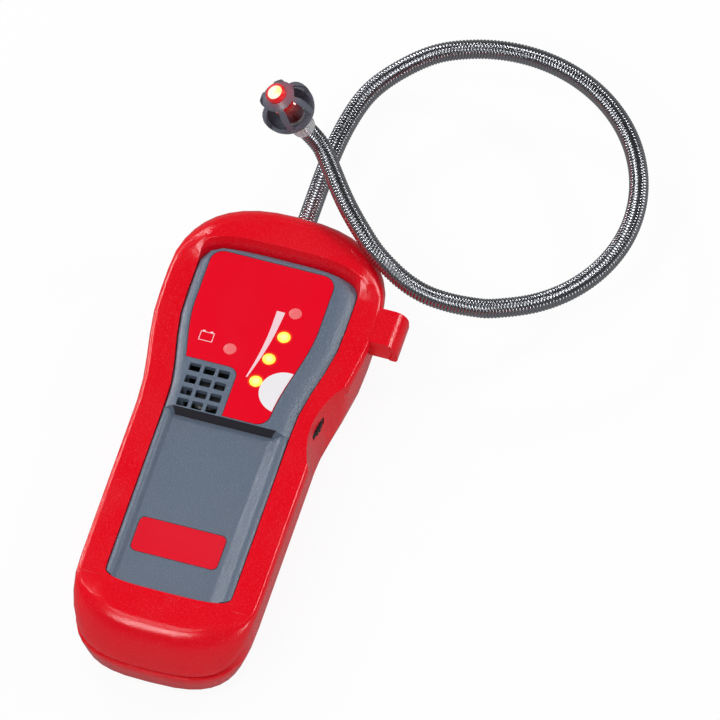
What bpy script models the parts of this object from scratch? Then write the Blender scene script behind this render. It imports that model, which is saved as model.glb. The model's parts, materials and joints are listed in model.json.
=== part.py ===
"""Hand-held gas leak detector: two-part case in a moulded boot, gooseneck probe and caged sensor head."""
import math

import bmesh
import bpy
import numpy as np
from mathutils import Matrix, Vector

mm = 0.001
GAP = 0.3 * mm                      # clearance between pieces that touch

# Boot, seen from the front: +Y is the probe end, +Z is the front, Z = 0 is the rest plane
BOOT_TOP = 112 * mm
BOOT_BOTTOM = -112 * mm
GRIP_HALF = 39.8 * mm
HEAD_HALF = 46.4 * mm
FLARE_START = 5 * mm
FLARE_END = 58 * mm
BOOT_TOP_CORNER = 72 * mm
BOOT_BOTTOM_CORNER = -74 * mm
BOOT_TOP_POWER = 2.45               # roundness of the corners: 2 is an ellipse, more is squarer
BOOT_BOTTOM_POWER = 2.9
FLANGE_Z = 41 * mm
HOOD_Z = 46 * mm
HOOD_FOOT = 77 * mm
HOOD_CREST = 88 * mm
HOOD_SLOPE = 2.9 * mm               # how far the hood's inner wall leans back over the window
CAP_START = -84 * mm
CAP_END = -108 * mm
CAP_STEP = 3 * mm                   # run of the small step where the cap starts
CAP_RISE = 0.5 * mm

# Window in the boot's front face
WINDOW_TOP = 88.6 * mm
WINDOW_BOTTOM = -84.8 * mm
WINDOW_GRIP_HALF = 27.6 * mm
WINDOW_HEAD_HALF = 34.7 * mm
WINDOW_FLARE_START = 9 * mm
WINDOW_FLARE_END = 57 * mm
WINDOW_TOP_CORNER = 74 * mm
WINDOW_BOTTOM_CORNER = -78 * mm
WINDOW_POWER = 3.6

# Window in the boot's rear face, with the case's pad in it
PAD_GRIP_HALF = 27.2 * mm
PAD_HEAD_HALF = 33.5 * mm
PAD_TOP = 98 * mm
PAD_TOP_CORNER = 72 * mm
PAD_BOTTOM = -97 * mm
PAD_BOTTOM_CORNER = -76 * mm
PAD_TOP_POWER = 2.6
PAD_BOTTOM_POWER = 3.0

# Case inside the boot
CASE_BOTTOM_Z = 2.9 * mm
CASE_FRONT_Z = 38.1 * mm
CASE_WALL = 2.2 * mm
PARTING_Z = 20 * mm
PLATEAU_Z = 43 * mm                 # display field
PANEL_Z = 39 * mm                   # floor of the grip panel
STEP_FOOT = -1.2 * mm
STEP_SLOPE = 1.25                   # run of the step wall for each unit of rise
PANEL_LEFT = -22.6 * mm
PANEL_RIGHT = 18.8 * mm
# Rail beside the panel on each side, in mm: distance out from the panel's edge, height above its floor
LEFT_RAIL = ((0.0, 0.0), (0.8, 0.7), (1.8, 1.9), (2.8, 2.2), (4.0, 1.9), (5.0, 1.2), (9.4, 0.2))
RIGHT_RAIL = ((0.0, 0.0), (1.4, 0.3), (3.0, 1.1), (4.6, 2.0), (6.0, 2.2), (7.6, 1.9), (8.8, 1.2), (13.2, 0.2))
POCKET_Z = 40.6 * mm                # inner roof under the display field

# Front label and badge
LABEL_TOP = 84.4 * mm
LABEL_BOTTOM = 4.6 * mm
LABEL_LEFT_MARGIN = 4.6 * mm
LABEL_RIGHT_MARGIN = 10.2 * mm
LABEL_CORNER = 6 * mm
LABEL_THICK = 0.45 * mm
LABEL_RECESS = 0.7 * mm
GRILLE_RIGHT = -2.6 * mm
GRILLE_TOP = 29 * mm
BADGE_CENTRE = (-2.2 * mm, -58.8 * mm)
BADGE_SIZE = (37.8 * mm, 17.2 * mm)
BADGE_CORNER = 2.6 * mm
BADGE_THICK = 0.4 * mm

# Speaker grille
SLOT_COLUMNS = (-20.3 * mm, -13.9 * mm, -7.6 * mm)
SLOT_ROWS = (24.7 * mm, 18.5 * mm, 12.4 * mm, 6.6 * mm)
SLOT_SIZE = (4.9 * mm, 3.9 * mm)
SPEAKER_CENTRE = (-12.4 * mm, 15.8 * mm)
SPEAKER_RADIUS = 7.8 * mm

# Indicator lights
LED_RADIUS = 2.5 * mm
LEVEL_LEDS = ((6.2 * mm, 25.4 * mm), (8.3 * mm, 37.6 * mm), (11.2 * mm, 49.8 * mm), (12.4 * mm, 62.5 * mm))
BATTERY_LED = (-8.9 * mm, 37.8 * mm)

# Circuit board
BOARD_Z = 34 * mm
BOARD_THICK = 1.6 * mm
BOARD_HALF = 18.4 * mm
BOARD_TOP = 76 * mm
BOARD_BOTTOM = -16 * mm

# Thumbwheel close under the board, its control, and the scoop around it
WHEEL_Y = 18 * mm
WHEEL_RADIUS = 10 * mm
WHEEL_THICK = 3 * mm
WHEEL_Z = BOARD_Z - 0.6 * mm - WHEEL_THICK / 2
WHEEL_BORE = 3.2 * mm
WHEEL_TEETH = 28
WHEEL_TOOTH = 0.7 * mm
WHEEL_PROUD = 0.9 * mm
WHEEL_CLEARANCE = 0.6 * mm
CONTROL_HEIGHT = 4.6 * mm
CONTROL_HALF = 5.5 * mm
CONTROL_INWARD = 7 * mm             # how far the control reaches in from the shaft
CONTROL_OUTWARD = 1.6 * mm
SCOOP_RADIUS = 41 * mm
SCOOP_EDGE_X = 34.8 * mm            # deepest point of the scoop at the flange
SCOOP_Y = 10.5 * mm
SCOOP_TILT = math.radians(5)
SCOOP_WALL = 2.2 * mm

# Probe clip on the boot's right side
CLIP_START = 59.6 * mm
CLIP_LENGTH = 17.4 * mm
CLIP_REACH = 11.6 * mm
CLIP_WALL = 2.3 * mm
CLIP_RADIUS = 6 * mm
CLIP_DROP = 11.4 * mm
CLIP_SET_BACK = 0.3 * mm            # below the flange

# Gooseneck
NECK_RADIUS = 4.2 * mm
NECK_Z = 23 * mm
NECK_INNER_END = 97 * mm
NECK_PIVOT_Y = 126 * mm
LOOP_CENTRE = (66.5 * mm, 159.0 * mm)
LOOP_RADIUS = 66.2 * mm
LOOP_OVAL = 0.026
LOOP_OVAL_ANGLE = math.radians(138)
LOOP_FROM = math.radians(128)
LOOP_TO = math.radians(-70)
LOOP_START_Z = 27 * mm
LOOP_RISE = 3.2 * mm                # over the first half of the loop
LOOP_END_RISE = 1.6 * mm            # over the last stretch
# Out of the case to the loop, and from the loop over the boot's corner to the sensor head, in mm
NECK_OUT = ((0.0, 134.0, 23.0), (0.4, 155.0, 24.0), (2.6, 174.0, 25.0), (8.4, 193.0, 26.0))
NECK_RISE = ((84.0, 93.7, 33.0), (75.9, 91.5, 35.0), (70.1, 90.2, 37.0), (61.7, 89.5, 39.5),
             (52.3, 91.1, 42.5), (43.6, 94.7, 45.6), (35.7, 99.3, 48.2), (28.7, 105.6, 50.0),
             (23.6, 110.6, 51.0), (18.3, 116.6, 51.5), (12.6, 123.9, 52.0), (6.4, 132.5, 52.5), (0.4, 139.7, 54.4))

# Sensor head: its own frame has the origin at the ball's centre and +Z towards the tip
BALL_CENTRE = Vector((-14, 138, 80)) * mm
HEAD_AXIS = Vector((-0.355, -0.164, 0.921)).normalized()
HEAD_TURN = HEAD_AXIS.to_track_quat("Z", "Y")
HEAD_PIVOT = Vector((4.0, 135.6, 53.0)) * mm
BALL_RADIUS = 11.75 * mm
BALL_WALL = 1.6 * mm
CAGE_WINDOWS = 6
CAGE_WINDOW = ((-4.8, -2.2), (4.8, -2.2), (4.6, 3.0), (2.7, 9.2), (-2.7, 9.2), (-4.6, 3.0))  # across, up, in mm
COLLAR_END = -19 * mm
NECK_IN_COLLAR = -13 * mm
TIP_RING_RADIUS = 4.3 * mm
TIP_LENS_RADIUS = 2.9 * mm
TIP_Z = 13.6 * mm

# Batteries
CELL_RADIUS = 13.1 * mm
CELL_LENGTH = 49.5 * mm
CELL_Z = 18.9 * mm
CELL_X = 14 * mm
CELL_PAIR_Y = -73.5 * mm
CELL_CROSS_Y = -34.5 * mm

# Battery door
DOOR_WIDTH = 48 * mm
DOOR_TOP = -22 * mm
DOOR_BOTTOM = -89 * mm
DOOR_THICK = 2.2 * mm
DOOR_LEDGE = 2.2 * mm
DOOR_CORNER = 4 * mm
DOOR_SCREW_LEDGE = 9 * mm           # ledge under the screwed end
DOOR_SCREW_Y = DOOR_TOP - 4.6 * mm
DOOR_SCREW_FACE = 0.2 * mm
DOOR_SCREW_HEAD = 1.1 * mm
DOOR_SCREW_LENGTH = 5.6 * mm
DOOR_BOSS_RADIUS = 3.4 * mm

# Case screws
SCREW_POINTS = ((-22.6 * mm, -10 * mm), (22.6 * mm, -10 * mm), (-26 * mm, 82 * mm), (26 * mm, 82 * mm))
SCREW_SEAT_Z = 3.2 * mm
SCREW_RADIUS = 1.5 * mm
SCREW_HEAD = 2.8 * mm
SCREW_HEAD_HEIGHT = 1.6 * mm
SCREW_LENGTH = 24 * mm
BOSS_RADIUS = 3.6 * mm

CORNER_POINTS = 10                  # outline points in a quarter turn at an end
SIDE_POINTS = 13                    # outline points along a flank


def clear_scene():
    for item in list(bpy.data.objects):
        bpy.data.objects.remove(item, do_unlink=True)


def collection(name):
    made = bpy.data.collections.new(name)
    bpy.context.scene.collection.children.link(made)
    return made


def material(name, colour, roughness, metallic=0.0):
    made = bpy.data.materials.new(name)
    made.use_nodes = True
    shader = made.node_tree.nodes["Principled BSDF"]
    shader.inputs["Base Color"].default_value = (*colour, 1)
    shader.inputs["Roughness"].default_value = roughness
    shader.inputs["Metallic"].default_value = metallic
    return made


def smooth(t):
    t = min(max(t, 0.0), 1.0)
    return t * t * (3 - 2 * t)


def blend(start, end, value):
    return smooth((value - start) / (end - start))


# Outlines and rings

def flank_half(y, grip_half, head_half, flare_start, flare_end):
    return grip_half + (head_half - grip_half) * blend(flare_start, flare_end, y)


def outline(shape):
    """Closed outline, clockwise from the middle of the top end."""
    grip_half, head_half, flare_start, flare_end, top, top_corner, top_power, *lower = shape
    bottom, bottom_corner, bottom_power = lower
    right = []
    for step in range(CORNER_POINTS):
        angle = math.pi / 2 * (1 - step / CORNER_POINTS)
        right.append((head_half * math.cos(angle) ** (2 / top_power),
                      top_corner + (top - top_corner) * math.sin(angle) ** (2 / top_power)))
    for step in range(SIDE_POINTS):
        y = top_corner + (bottom_corner - top_corner) * step / SIDE_POINTS
        right.append((flank_half(y, grip_half, head_half, flare_start, flare_end), y))
    for step in range(CORNER_POINTS):
        angle = math.pi / 2 * step / CORNER_POINTS
        right.append((grip_half * math.cos(angle) ** (2 / bottom_power),
                      bottom_corner + (bottom - bottom_corner) * math.sin(angle) ** (2 / bottom_power)))
    right.append((0.0, bottom))
    left = [(-x, y) for x, y in reversed(right[1:-1])]
    return np.array(right + left)


def inset(points, depth):
    """The outline moved inwards by depth, a number or one value for each point."""
    forward = np.roll(points, -1, axis=0) - points
    forward /= np.linalg.norm(forward, axis=1)[:, None]
    tangent = forward + np.roll(forward, 1, axis=0)
    tangent /= np.linalg.norm(tangent, axis=1)[:, None]
    inward = np.stack([tangent[:, 1], -tangent[:, 0]], axis=1)
    return points + inward * np.reshape(depth, (-1, 1))


BOOT_SHAPE = (GRIP_HALF, HEAD_HALF, FLARE_START, FLARE_END, BOOT_TOP, BOOT_TOP_CORNER, BOOT_TOP_POWER,
              BOOT_BOTTOM, BOOT_BOTTOM_CORNER, BOOT_BOTTOM_POWER)
WINDOW_SHAPE = (WINDOW_GRIP_HALF, WINDOW_HEAD_HALF, WINDOW_FLARE_START, WINDOW_FLARE_END, WINDOW_TOP,
                WINDOW_TOP_CORNER, WINDOW_POWER, WINDOW_BOTTOM, WINDOW_BOTTOM_CORNER, WINDOW_POWER)
PAD_SHAPE = (PAD_GRIP_HALF, PAD_HEAD_HALF, FLARE_START, FLARE_END, PAD_TOP, PAD_TOP_CORNER, PAD_TOP_POWER,
             PAD_BOTTOM, PAD_BOTTOM_CORNER, PAD_BOTTOM_POWER)


def window_half(y):
    return flank_half(y, WINDOW_GRIP_HALF, WINDOW_HEAD_HALF, WINDOW_FLARE_START, WINDOW_FLARE_END)


def ring(points, heights):
    heights = np.broadcast_to(np.reshape(heights, (-1,)), (len(points),))
    return [(x, y, z) for (x, y), z in zip(points, heights)]


def rounded_rectangle(width, height, radius, centre=(0.0, 0.0), steps=5):
    points = []
    for turn in range(4):
        corner_x = (width / 2 - radius) * (1 if turn in (0, 3) else -1)
        corner_y = (height / 2 - radius) * (1 if turn in (0, 1) else -1)
        for step in range(steps + 1):
            angle = math.pi / 2 * (turn + step / steps)
            points.append((centre[0] + corner_x + radius * math.cos(angle),
                           centre[1] + corner_y + radius * math.sin(angle)))
    return points


# Objects

def add_object(name, mesh, paint, group, smooth_angle=30):
    made = bpy.data.objects.new(name, mesh)
    group.objects.link(made)
    if paint is not None:
        mesh.materials.clear()
        mesh.materials.append(paint)
    if smooth_angle:
        mesh.shade_smooth()
        mesh.set_sharp_from_angle(angle=math.radians(smooth_angle))
    return made


def as_cutter(item):
    item.hide_render = True
    item.display_type = "WIRE"
    return item


def loft(name, rings, paint, group, smooth_angle=30):
    """Skin over closed rings with equal point counts, capped at both ends."""
    shape = bmesh.new()
    rows = [[shape.verts.new(point) for point in points] for points in rings]
    count = len(rows[0])
    for lower, upper in zip(rows, rows[1:]):
        for index in range(count):
            follower = (index + 1) % count
            shape.faces.new((lower[index], lower[follower], upper[follower], upper[index]))
    shape.faces.new(list(reversed(rows[0])))
    shape.faces.new(rows[-1])
    bmesh.ops.recalc_face_normals(shape, faces=shape.faces)
    mesh = bpy.data.meshes.new(name)
    shape.to_mesh(mesh)
    shape.free()
    return add_object(name, mesh, paint, group, smooth_angle)


def curve_to_mesh(curve_object, name, paint, group, smooth_angle=30):
    """The curve's mesh, with its loose caps welded, in place of the curve."""
    graph = bpy.context.evaluated_depsgraph_get()
    mesh = bpy.data.meshes.new_from_object(curve_object.evaluated_get(graph))
    mesh.name = name
    shape = bmesh.new()
    shape.from_mesh(mesh)
    bmesh.ops.remove_doubles(shape, verts=shape.verts, dist=0.005 * mm)
    bmesh.ops.recalc_face_normals(shape, faces=shape.faces)
    shape.to_mesh(mesh)
    shape.free()
    place = curve_object.matrix_world.copy()
    bpy.data.objects.remove(curve_object, do_unlink=True)
    made = add_object(name, mesh, paint, group, smooth_angle)
    made.matrix_world = place
    return made


def plate(name, points, bottom, top, paint, group, smooth_angle=30):
    """A flat outline in X and Y given a thickness along Z."""
    data = bpy.data.curves.new(name + "_outline", "CURVE")
    data.dimensions = "2D"
    data.fill_mode = "BOTH"
    data.extrude = (top - bottom) / 2
    spline = data.splines.new("POLY")
    spline.points.add(len(points) - 1)
    for knot, (x, y) in zip(spline.points, points):
        knot.co = (x, y, 0, 1)
    spline.use_cyclic_u = True
    holder = bpy.data.objects.new(name + "_outline", data)
    group.objects.link(holder)
    made = curve_to_mesh(holder, name, paint, group, smooth_angle)
    made.location.z = (top + bottom) / 2
    return made


def tube(name, points, radius, paint, group, resolution=2):
    data = bpy.data.curves.new(name + "_path", "CURVE")
    data.dimensions = "3D"
    data.bevel_depth = radius
    data.bevel_resolution = resolution
    data.use_fill_caps = True
    spline = data.splines.new("POLY")
    spline.points.add(len(points) - 1)
    for knot, point in zip(spline.points, points):
        knot.co = (*point, 1)
    holder = bpy.data.objects.new(name + "_path", data)
    group.objects.link(holder)
    return curve_to_mesh(holder, name, paint, group, 60)


def turned(name, profile, paint, group, steps=24, smooth_angle=30):
    """A profile of (radius, height) pairs, top to bottom down its outer side, turned about Z."""
    mesh = bpy.data.meshes.new(name)
    points = [(radius, 0.0, height) for radius, height in profile]
    edges = [(index, index + 1) for index in range(len(points) - 1)]
    if profile[0][0] > 0 and profile[-1][0] > 0:
        edges.append((len(points) - 1, 0))
    mesh.from_pydata(points, edges, [])
    made = bpy.data.objects.new(name, mesh)
    group.objects.link(made)
    screw = made.modifiers.new("Turn", "SCREW")
    screw.steps = steps
    screw.render_steps = steps
    screw.use_merge_vertices = True
    screw.merge_threshold = 0.01 * mm
    graph = bpy.context.evaluated_depsgraph_get()
    solid = bpy.data.meshes.new_from_object(made.evaluated_get(graph))
    solid.name = name
    bpy.data.objects.remove(made, do_unlink=True)
    shape = bmesh.new()
    shape.from_mesh(solid)
    bmesh.ops.remove_doubles(shape, verts=shape.verts, dist=0.005 * mm)
    bmesh.ops.recalc_face_normals(shape, faces=shape.faces)
    shape.to_mesh(solid)
    shape.free()
    return add_object(name, solid, paint, group, smooth_angle)


def cylinder(name, radius, depth, centre, group, paint=None, sides=32):
    shape = bmesh.new()
    bmesh.ops.create_cone(shape, cap_ends=True, segments=sides, radius1=radius, radius2=radius, depth=depth)
    mesh = bpy.data.meshes.new(name)
    shape.to_mesh(mesh)
    shape.free()
    made = add_object(name, mesh, paint, group)
    made.location = centre
    return made


def box(name, low, high, group, paint=None):
    size = [b - a for a, b in zip(low, high)]
    shape = bmesh.new()
    bmesh.ops.create_cube(shape, size=1)
    bmesh.ops.scale(shape, vec=size, verts=shape.verts)
    mesh = bpy.data.meshes.new(name)
    shape.to_mesh(mesh)
    shape.free()
    made = add_object(name, mesh, paint, group, 0)
    made.location = [(a + b) / 2 for a, b in zip(low, high)]
    return made


def combine(target, other, operation):
    as_cutter(other)
    step = target.modifiers.new(other.name, "BOOLEAN")
    step.operation = operation
    step.solver = "EXACT"
    step.object = other


def cut(target, *others):
    for other in others:
        combine(target, other, "DIFFERENCE")


def join(target, *others):
    for other in others:
        combine(target, other, "UNION")


def hang(item, pivot_empty):
    """Parents a piece to the empty on its joint's axis and keeps it where it is."""
    item.parent = pivot_empty
    item.location = item.location - pivot_empty.location


# Boot

# Each station is (height, inset) on a flank, at the bottom end and at the top end, rear to front
BOOT_STATIONS = (
    ((0.0, 9.0), (0.0, 12.0), (0.0, 9.0)),
    ((2.0, 6.2), (2.0, 8.6), (2.0, 6.2)),
    ((6.0, 4.4), (6.0, 5.0), (6.0, 4.4)),
    ((12.0, 2.8), (11.0, 1.6), (12.0, 2.8)),
    ((14.0, 2.2), (12.4, 0.6), (14.0, 2.2)),
    ((20.0, 1.2), (13.8, 0.4), (20.0, 1.2)),
    ((30.0, 1.0), (14.6, 1.8), (28.0, 0.9)),
    ((34.8, 1.0), (22.0, 2.2), (31.5, 0.8)),
    ((35.8, 0.2), (22.9, 0.3), (32.5, 0.1)),
    ((37.0, 0.0), (25.0, 0.0), (34.5, 0.0)),
    ((38.6, 0.1), (31.0, 0.7), (38.0, 0.4)),
    ((39.8, 0.4), (36.5, 2.2), (41.0, 1.5)),
    ((40.5, 0.9), (40.6, 4.6), (43.6, 3.6)),
    ((40.9, 1.6), (43.0, 7.8), (45.2, 6.4)),
    ((41.0, 2.6), (43.9, 11.6), (46.0, 10.0)),
)


def front_height(y):
    """Height of the boot's front face: a hood at the probe end, a rising cap at the other."""
    hood = (HOOD_Z - FLANGE_Z) * blend(HOOD_FOOT, HOOD_CREST, y)
    cap = CAP_RISE * blend(CAP_START, CAP_START - CAP_STEP, y)
    return FLANGE_Z + hood + cap


def boot_rings():
    outer = outline(BOOT_SHAPE)
    top_share = np.array([blend(HOOD_FOOT, HOOD_CREST + 8 * mm, y) for y in outer[:, 1]])
    bottom_share = np.array([blend(CAP_START, CAP_END, y) for y in outer[:, 1]])
    rings = [ring(inset(outline(PAD_SHAPE), 3 * mm), 0.0)]
    for flank, bottom, top in BOOT_STATIONS:
        mixed = [flank[part] + (bottom[part] - flank[part]) * bottom_share
                 + (top[part] - flank[part]) * top_share for part in (0, 1)]
        rings.append(ring(inset(outer, mixed[1] * mm), mixed[0] * mm))
    window = outline(WINDOW_SHAPE)
    for depth in (-4 * mm, 2.5 * mm):
        points = inset(window, depth)
        rings.append(ring(points, [front_height(y) for y in points[:, 1]]))
    return rings


def scoop_cutter(name, extra, group):
    """Leaning cylinder that hollows the right flank around the thumbwheel."""
    made = cylinder(name, SCOOP_RADIUS + extra, 90 * mm,
                    (SCOOP_EDGE_X + SCOOP_RADIUS, SCOOP_Y, FLANGE_Z), group, sides=96)
    made.rotation_euler = (0, -SCOOP_TILT, 0)
    return made


def scoop_x(y, z):
    """Where the scoop's wall lies at a place along it and a height."""
    away = SCOOP_RADIUS - math.sqrt(SCOOP_RADIUS ** 2 - (y - SCOOP_Y) ** 2)
    return SCOOP_EDGE_X + away + (FLANGE_Z - z) * math.tan(SCOOP_TILT)


def wheel_centre():
    return (scoop_x(WHEEL_Y, WHEEL_Z) + WHEEL_PROUD - WHEEL_RADIUS, WHEEL_Y, WHEEL_Z)


def wheel_slot(name, cutters):
    """Disc a little larger than the thumbwheel, which opens the walls around it."""
    radius = WHEEL_RADIUS + WHEEL_CLEARANCE
    return cylinder(name, radius, WHEEL_THICK + 2 * WHEEL_CLEARANCE, wheel_centre(), cutters, sides=48)


def clip_profile():
    """Section of the probe clip across its channel, in X and Z."""
    inner_x = HEAD_HALF - 4 * mm
    outer_x = HEAD_HALF + CLIP_REACH
    top = FLANGE_Z - CLIP_SET_BACK
    low = FLANGE_Z - CLIP_DROP
    outer_radius = CLIP_RADIUS
    inner_radius = outer_radius - CLIP_WALL
    points = [(inner_x, top)]
    for step in range(6):
        angle = math.pi / 2 * (1 - step / 5)
        points.append((outer_x - outer_radius + outer_radius * math.cos(angle),
                       top - outer_radius + outer_radius * math.sin(angle)))
    points += [(outer_x, low + 1.4 * mm), (outer_x - 0.6 * mm, low + 0.3 * mm), (outer_x - 1.7 * mm, low)]
    points += [(outer_x - 3.4 * mm, low + 0.2 * mm), (outer_x - 3.9 * mm, low + 1.0 * mm)]
    points += [(outer_x - 2.8 * mm, low + 2.4 * mm), (outer_x - CLIP_WALL, low + 4.2 * mm)]
    for step in range(5):
        angle = math.pi / 2 * step / 4
        points.append((outer_x - outer_radius + inner_radius * math.cos(angle),
                       top - outer_radius + inner_radius * math.sin(angle)))
    points.append((inner_x, top - CLIP_WALL))
    return points


def add_clip(boot, cutters):
    clip = plate("clip_form", clip_profile(), -CLIP_LENGTH / 2, CLIP_LENGTH / 2, None, cutters)
    clip.location = (0, CLIP_START + CLIP_LENGTH / 2, 0)
    clip.rotation_euler = (math.pi / 2, 0, 0)
    join(boot, clip)


def build_boot(parts, cutters, paint):
    boot = loft("boot", boot_rings(), paint, parts, 35)
    add_clip(boot, cutters)
    window = outline(WINDOW_SHAPE)
    mouth = [ring(window, 30 * mm), ring(window, FLANGE_Z - 0.4 * mm),
             ring(inset(window, -HOOD_SLOPE), HOOD_Z), ring(inset(window, -HOOD_SLOPE - 2.9 * mm), 51 * mm)]
    cut(boot, loft("front_window", mouth, None, cutters))
    cut(boot, scoop_cutter("scoop", 0.0, cutters))
    cut(boot, case_solid("case_cavity", GAP, cutters, cutters))
    cut(boot, plate("rear_window", outline(PAD_SHAPE), -2 * mm, 8 * mm, None, cutters))
    cut(boot, wheel_slot("boot_wheel_slot", cutters))
    hole = cylinder("boot_neck_hole", NECK_RADIUS + 0.4 * mm, 40 * mm, (0, 105 * mm, NECK_Z), cutters)
    hole.rotation_euler = (math.pi / 2, 0, 0)
    cut(boot, hole)


# Case shells

# Height and inset of the case's wall, rear to front
CASE_STATIONS = ((2.9, 12.4), (5.0, 9.2), (9.0, 6.7), (14.0, 5.0), (22.0, 4.3), (34.0, 4.3), (37.0, 5.4),
                 (38.1, 8.4))


def case_solid(name, grow, group, cutters):
    """The case's closed outer form, grown by a clearance or shrunk by a wall."""
    outer = outline(BOOT_SHAPE)
    middle = (CASE_BOTTOM_Z + CASE_FRONT_Z) / 2
    rings = []
    for height, depth in CASE_STATIONS:
        shift = grow if height * mm > middle else -grow
        rings.append(ring(inset(outer, depth * mm - grow), height * mm + shift))
    solid = loft(name, rings, None, group)
    cut(solid, scoop_cutter(name + "_scoop", SCOOP_WALL - grow, cutters))
    return solid


def label_outline(margin=0.0):
    """Front label: margins differ left and right, and a field is left free for the grille."""
    top = LABEL_TOP + margin
    bottom = LABEL_BOTTOM - margin
    corner = LABEL_CORNER
    points = []

    def right_edge(y):
        return window_half(y) - LABEL_RIGHT_MARGIN + margin

    def left_edge(y):
        return -window_half(y) + LABEL_LEFT_MARGIN - margin

    for step in range(7):
        angle = -math.pi / 2 * (1 - step / 6)
        points.append((right_edge(bottom + corner) - corner + corner * math.cos(angle),
                       bottom + corner + corner * math.sin(angle)))
    for step in range(1, 12):
        y = bottom + corner + (top - bottom - 2 * corner) * step / 12
        points.append((right_edge(y), y))
    for step in range(7):
        angle = math.pi / 2 * step / 6
        points.append((right_edge(top - corner) - corner + corner * math.cos(angle),
                       top - corner + corner * math.sin(angle)))
    for step in range(7):
        angle = math.pi / 2 * (1 + step / 6)
        points.append((left_edge(top - corner) + corner + corner * math.cos(angle),
                       top - corner + corner * math.sin(angle)))
    lowest = bottom if margin else GRILLE_TOP
    for step in range(1, 13):
        y = top - corner - (top - corner - lowest) * step / 12
        points.append((left_edge(y), y))
    if not margin:
        for step in range(6):
            angle = math.pi / 2 * (1 - step / 5)
            points.append((GRILLE_RIGHT - 4 * mm + 4 * mm * math.cos(angle),
                           GRILLE_TOP - 4 * mm + 4 * mm * math.sin(angle)))
        points.append((GRILLE_RIGHT, bottom))
    return points


def by_angle(points, centre, count):
    """The closed outline cut by rays at even angles from a centre inside it."""
    points = np.array(points) - centre
    following = np.roll(points, -1, axis=0)
    hits = []
    for index in range(count):
        angle = 2 * math.pi * index / count
        ray = np.array([math.cos(angle), math.sin(angle)])
        edge = following - points
        cross = ray[0] * edge[:, 1] - ray[1] * edge[:, 0]
        cross = np.where(abs(cross) < 1e-15, 1e-15, cross)
        reach = (points[:, 0] * edge[:, 1] - points[:, 1] * edge[:, 0]) / cross
        along = (points[:, 0] * ray[1] - points[:, 1] * ray[0]) / cross
        found = reach[(along >= -1e-9) & (along <= 1 + 1e-9) & (reach > 0)]
        hits.append(centre + ray * found.max())
    return np.array(hits)


def display_dome(cutters):
    """Rounded slopes from outside the window's edge up to the label's plateau."""
    rim = inset(outline(WINDOW_SHAPE), GAP)
    rim = np.array([(x, max(y, STEP_FOOT - 6 * mm)) for x, y in rim])
    centre = np.array([-1 * mm, 42 * mm])
    count = 60
    rim = by_angle(rim, centre, count)
    plateau = by_angle(label_outline(1.0 * mm), centre, count)
    slope = ((-0.5, 37.0), (-0.5, 38.9), (0.0, 40.2), (0.16, 41.2), (0.42, 42.1), (0.8, 42.8), (1.0, 43.0))
    rings = [ring(rim + (plateau - rim) * share, height * mm) for share, height in slope]
    return loft("display_dome", rings, None, cutters)


def bezel_cutter(cutters):
    """All that lies outside the dome over the display end of the window."""
    low = (-60 * mm, STEP_FOOT + 2.6 * mm, 38.3 * mm)
    made = box("bezel_cutter", low, (60 * mm, 130 * mm, 50 * mm), cutters)
    cut(made, display_dome(cutters))
    return made


def trough_cutter(cutters):
    """Clears the grip panel between its rails, up to the sloping step under the display."""
    section = [(PANEL_LEFT - run * mm, PANEL_Z + rise * mm) for run, rise in reversed(LEFT_RAIL)]
    section += [(PANEL_RIGHT + run * mm, PANEL_Z + rise * mm) for run, rise in RIGHT_RAIL]
    clear_z = PLATEAU_Z + 7 * mm
    section += [(section[-1][0], clear_z), (section[0][0], clear_z)]
    low = [(x, BOOT_BOTTOM - 8 * mm, z) for x, z in section]
    high = [(x, STEP_FOOT + (z - PANEL_Z) * STEP_SLOPE, z) for x, z in section]
    return loft("trough", [low, high], None, cutters)


def boss(name, x, y, low, high, cutters):
    return cylinder(name, BOSS_RADIUS, high - low, (x, y, (low + high) / 2), cutters, sides=20)


def screw_bore(name, x, y, top, cutters):
    """Clearance bore for a screw, from well below the rear face up to a height."""
    low = -20 * mm
    return cylinder(name, SCREW_RADIUS + GAP, top - low, (x, y, (top + low) / 2), cutters, sides=16)


def head_seat(name, x, y, depth, cutters):
    """Counterbore for a screw's head in the rear face."""
    return cylinder(name, SCREW_HEAD + GAP, 2 * depth, (x, y, 0), cutters, sides=20)


def led_bore(name, place, cutters):
    return cylinder(name, LED_RADIUS + GAP, 20 * mm, (*place, PLATEAU_Z), cutters, sides=20)


def front_shell_inside(shell, cutters):
    cut(shell, case_solid("front_inside", -CASE_WALL, cutters, cutters))
    cut(shell, plate("display_pocket", label_outline(-2.5 * mm), 30 * mm, POCKET_Z, None, cutters))
    for index, (x, y) in enumerate(SCREW_POINTS):
        join(shell, boss(f"front_boss_{index}", x, y, PARTING_Z + 0.4 * mm, CASE_FRONT_Z - 1.2 * mm, cutters))
        cut(shell, screw_bore(f"thread_bore_{index}", x, y, 28 * mm, cutters))


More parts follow.
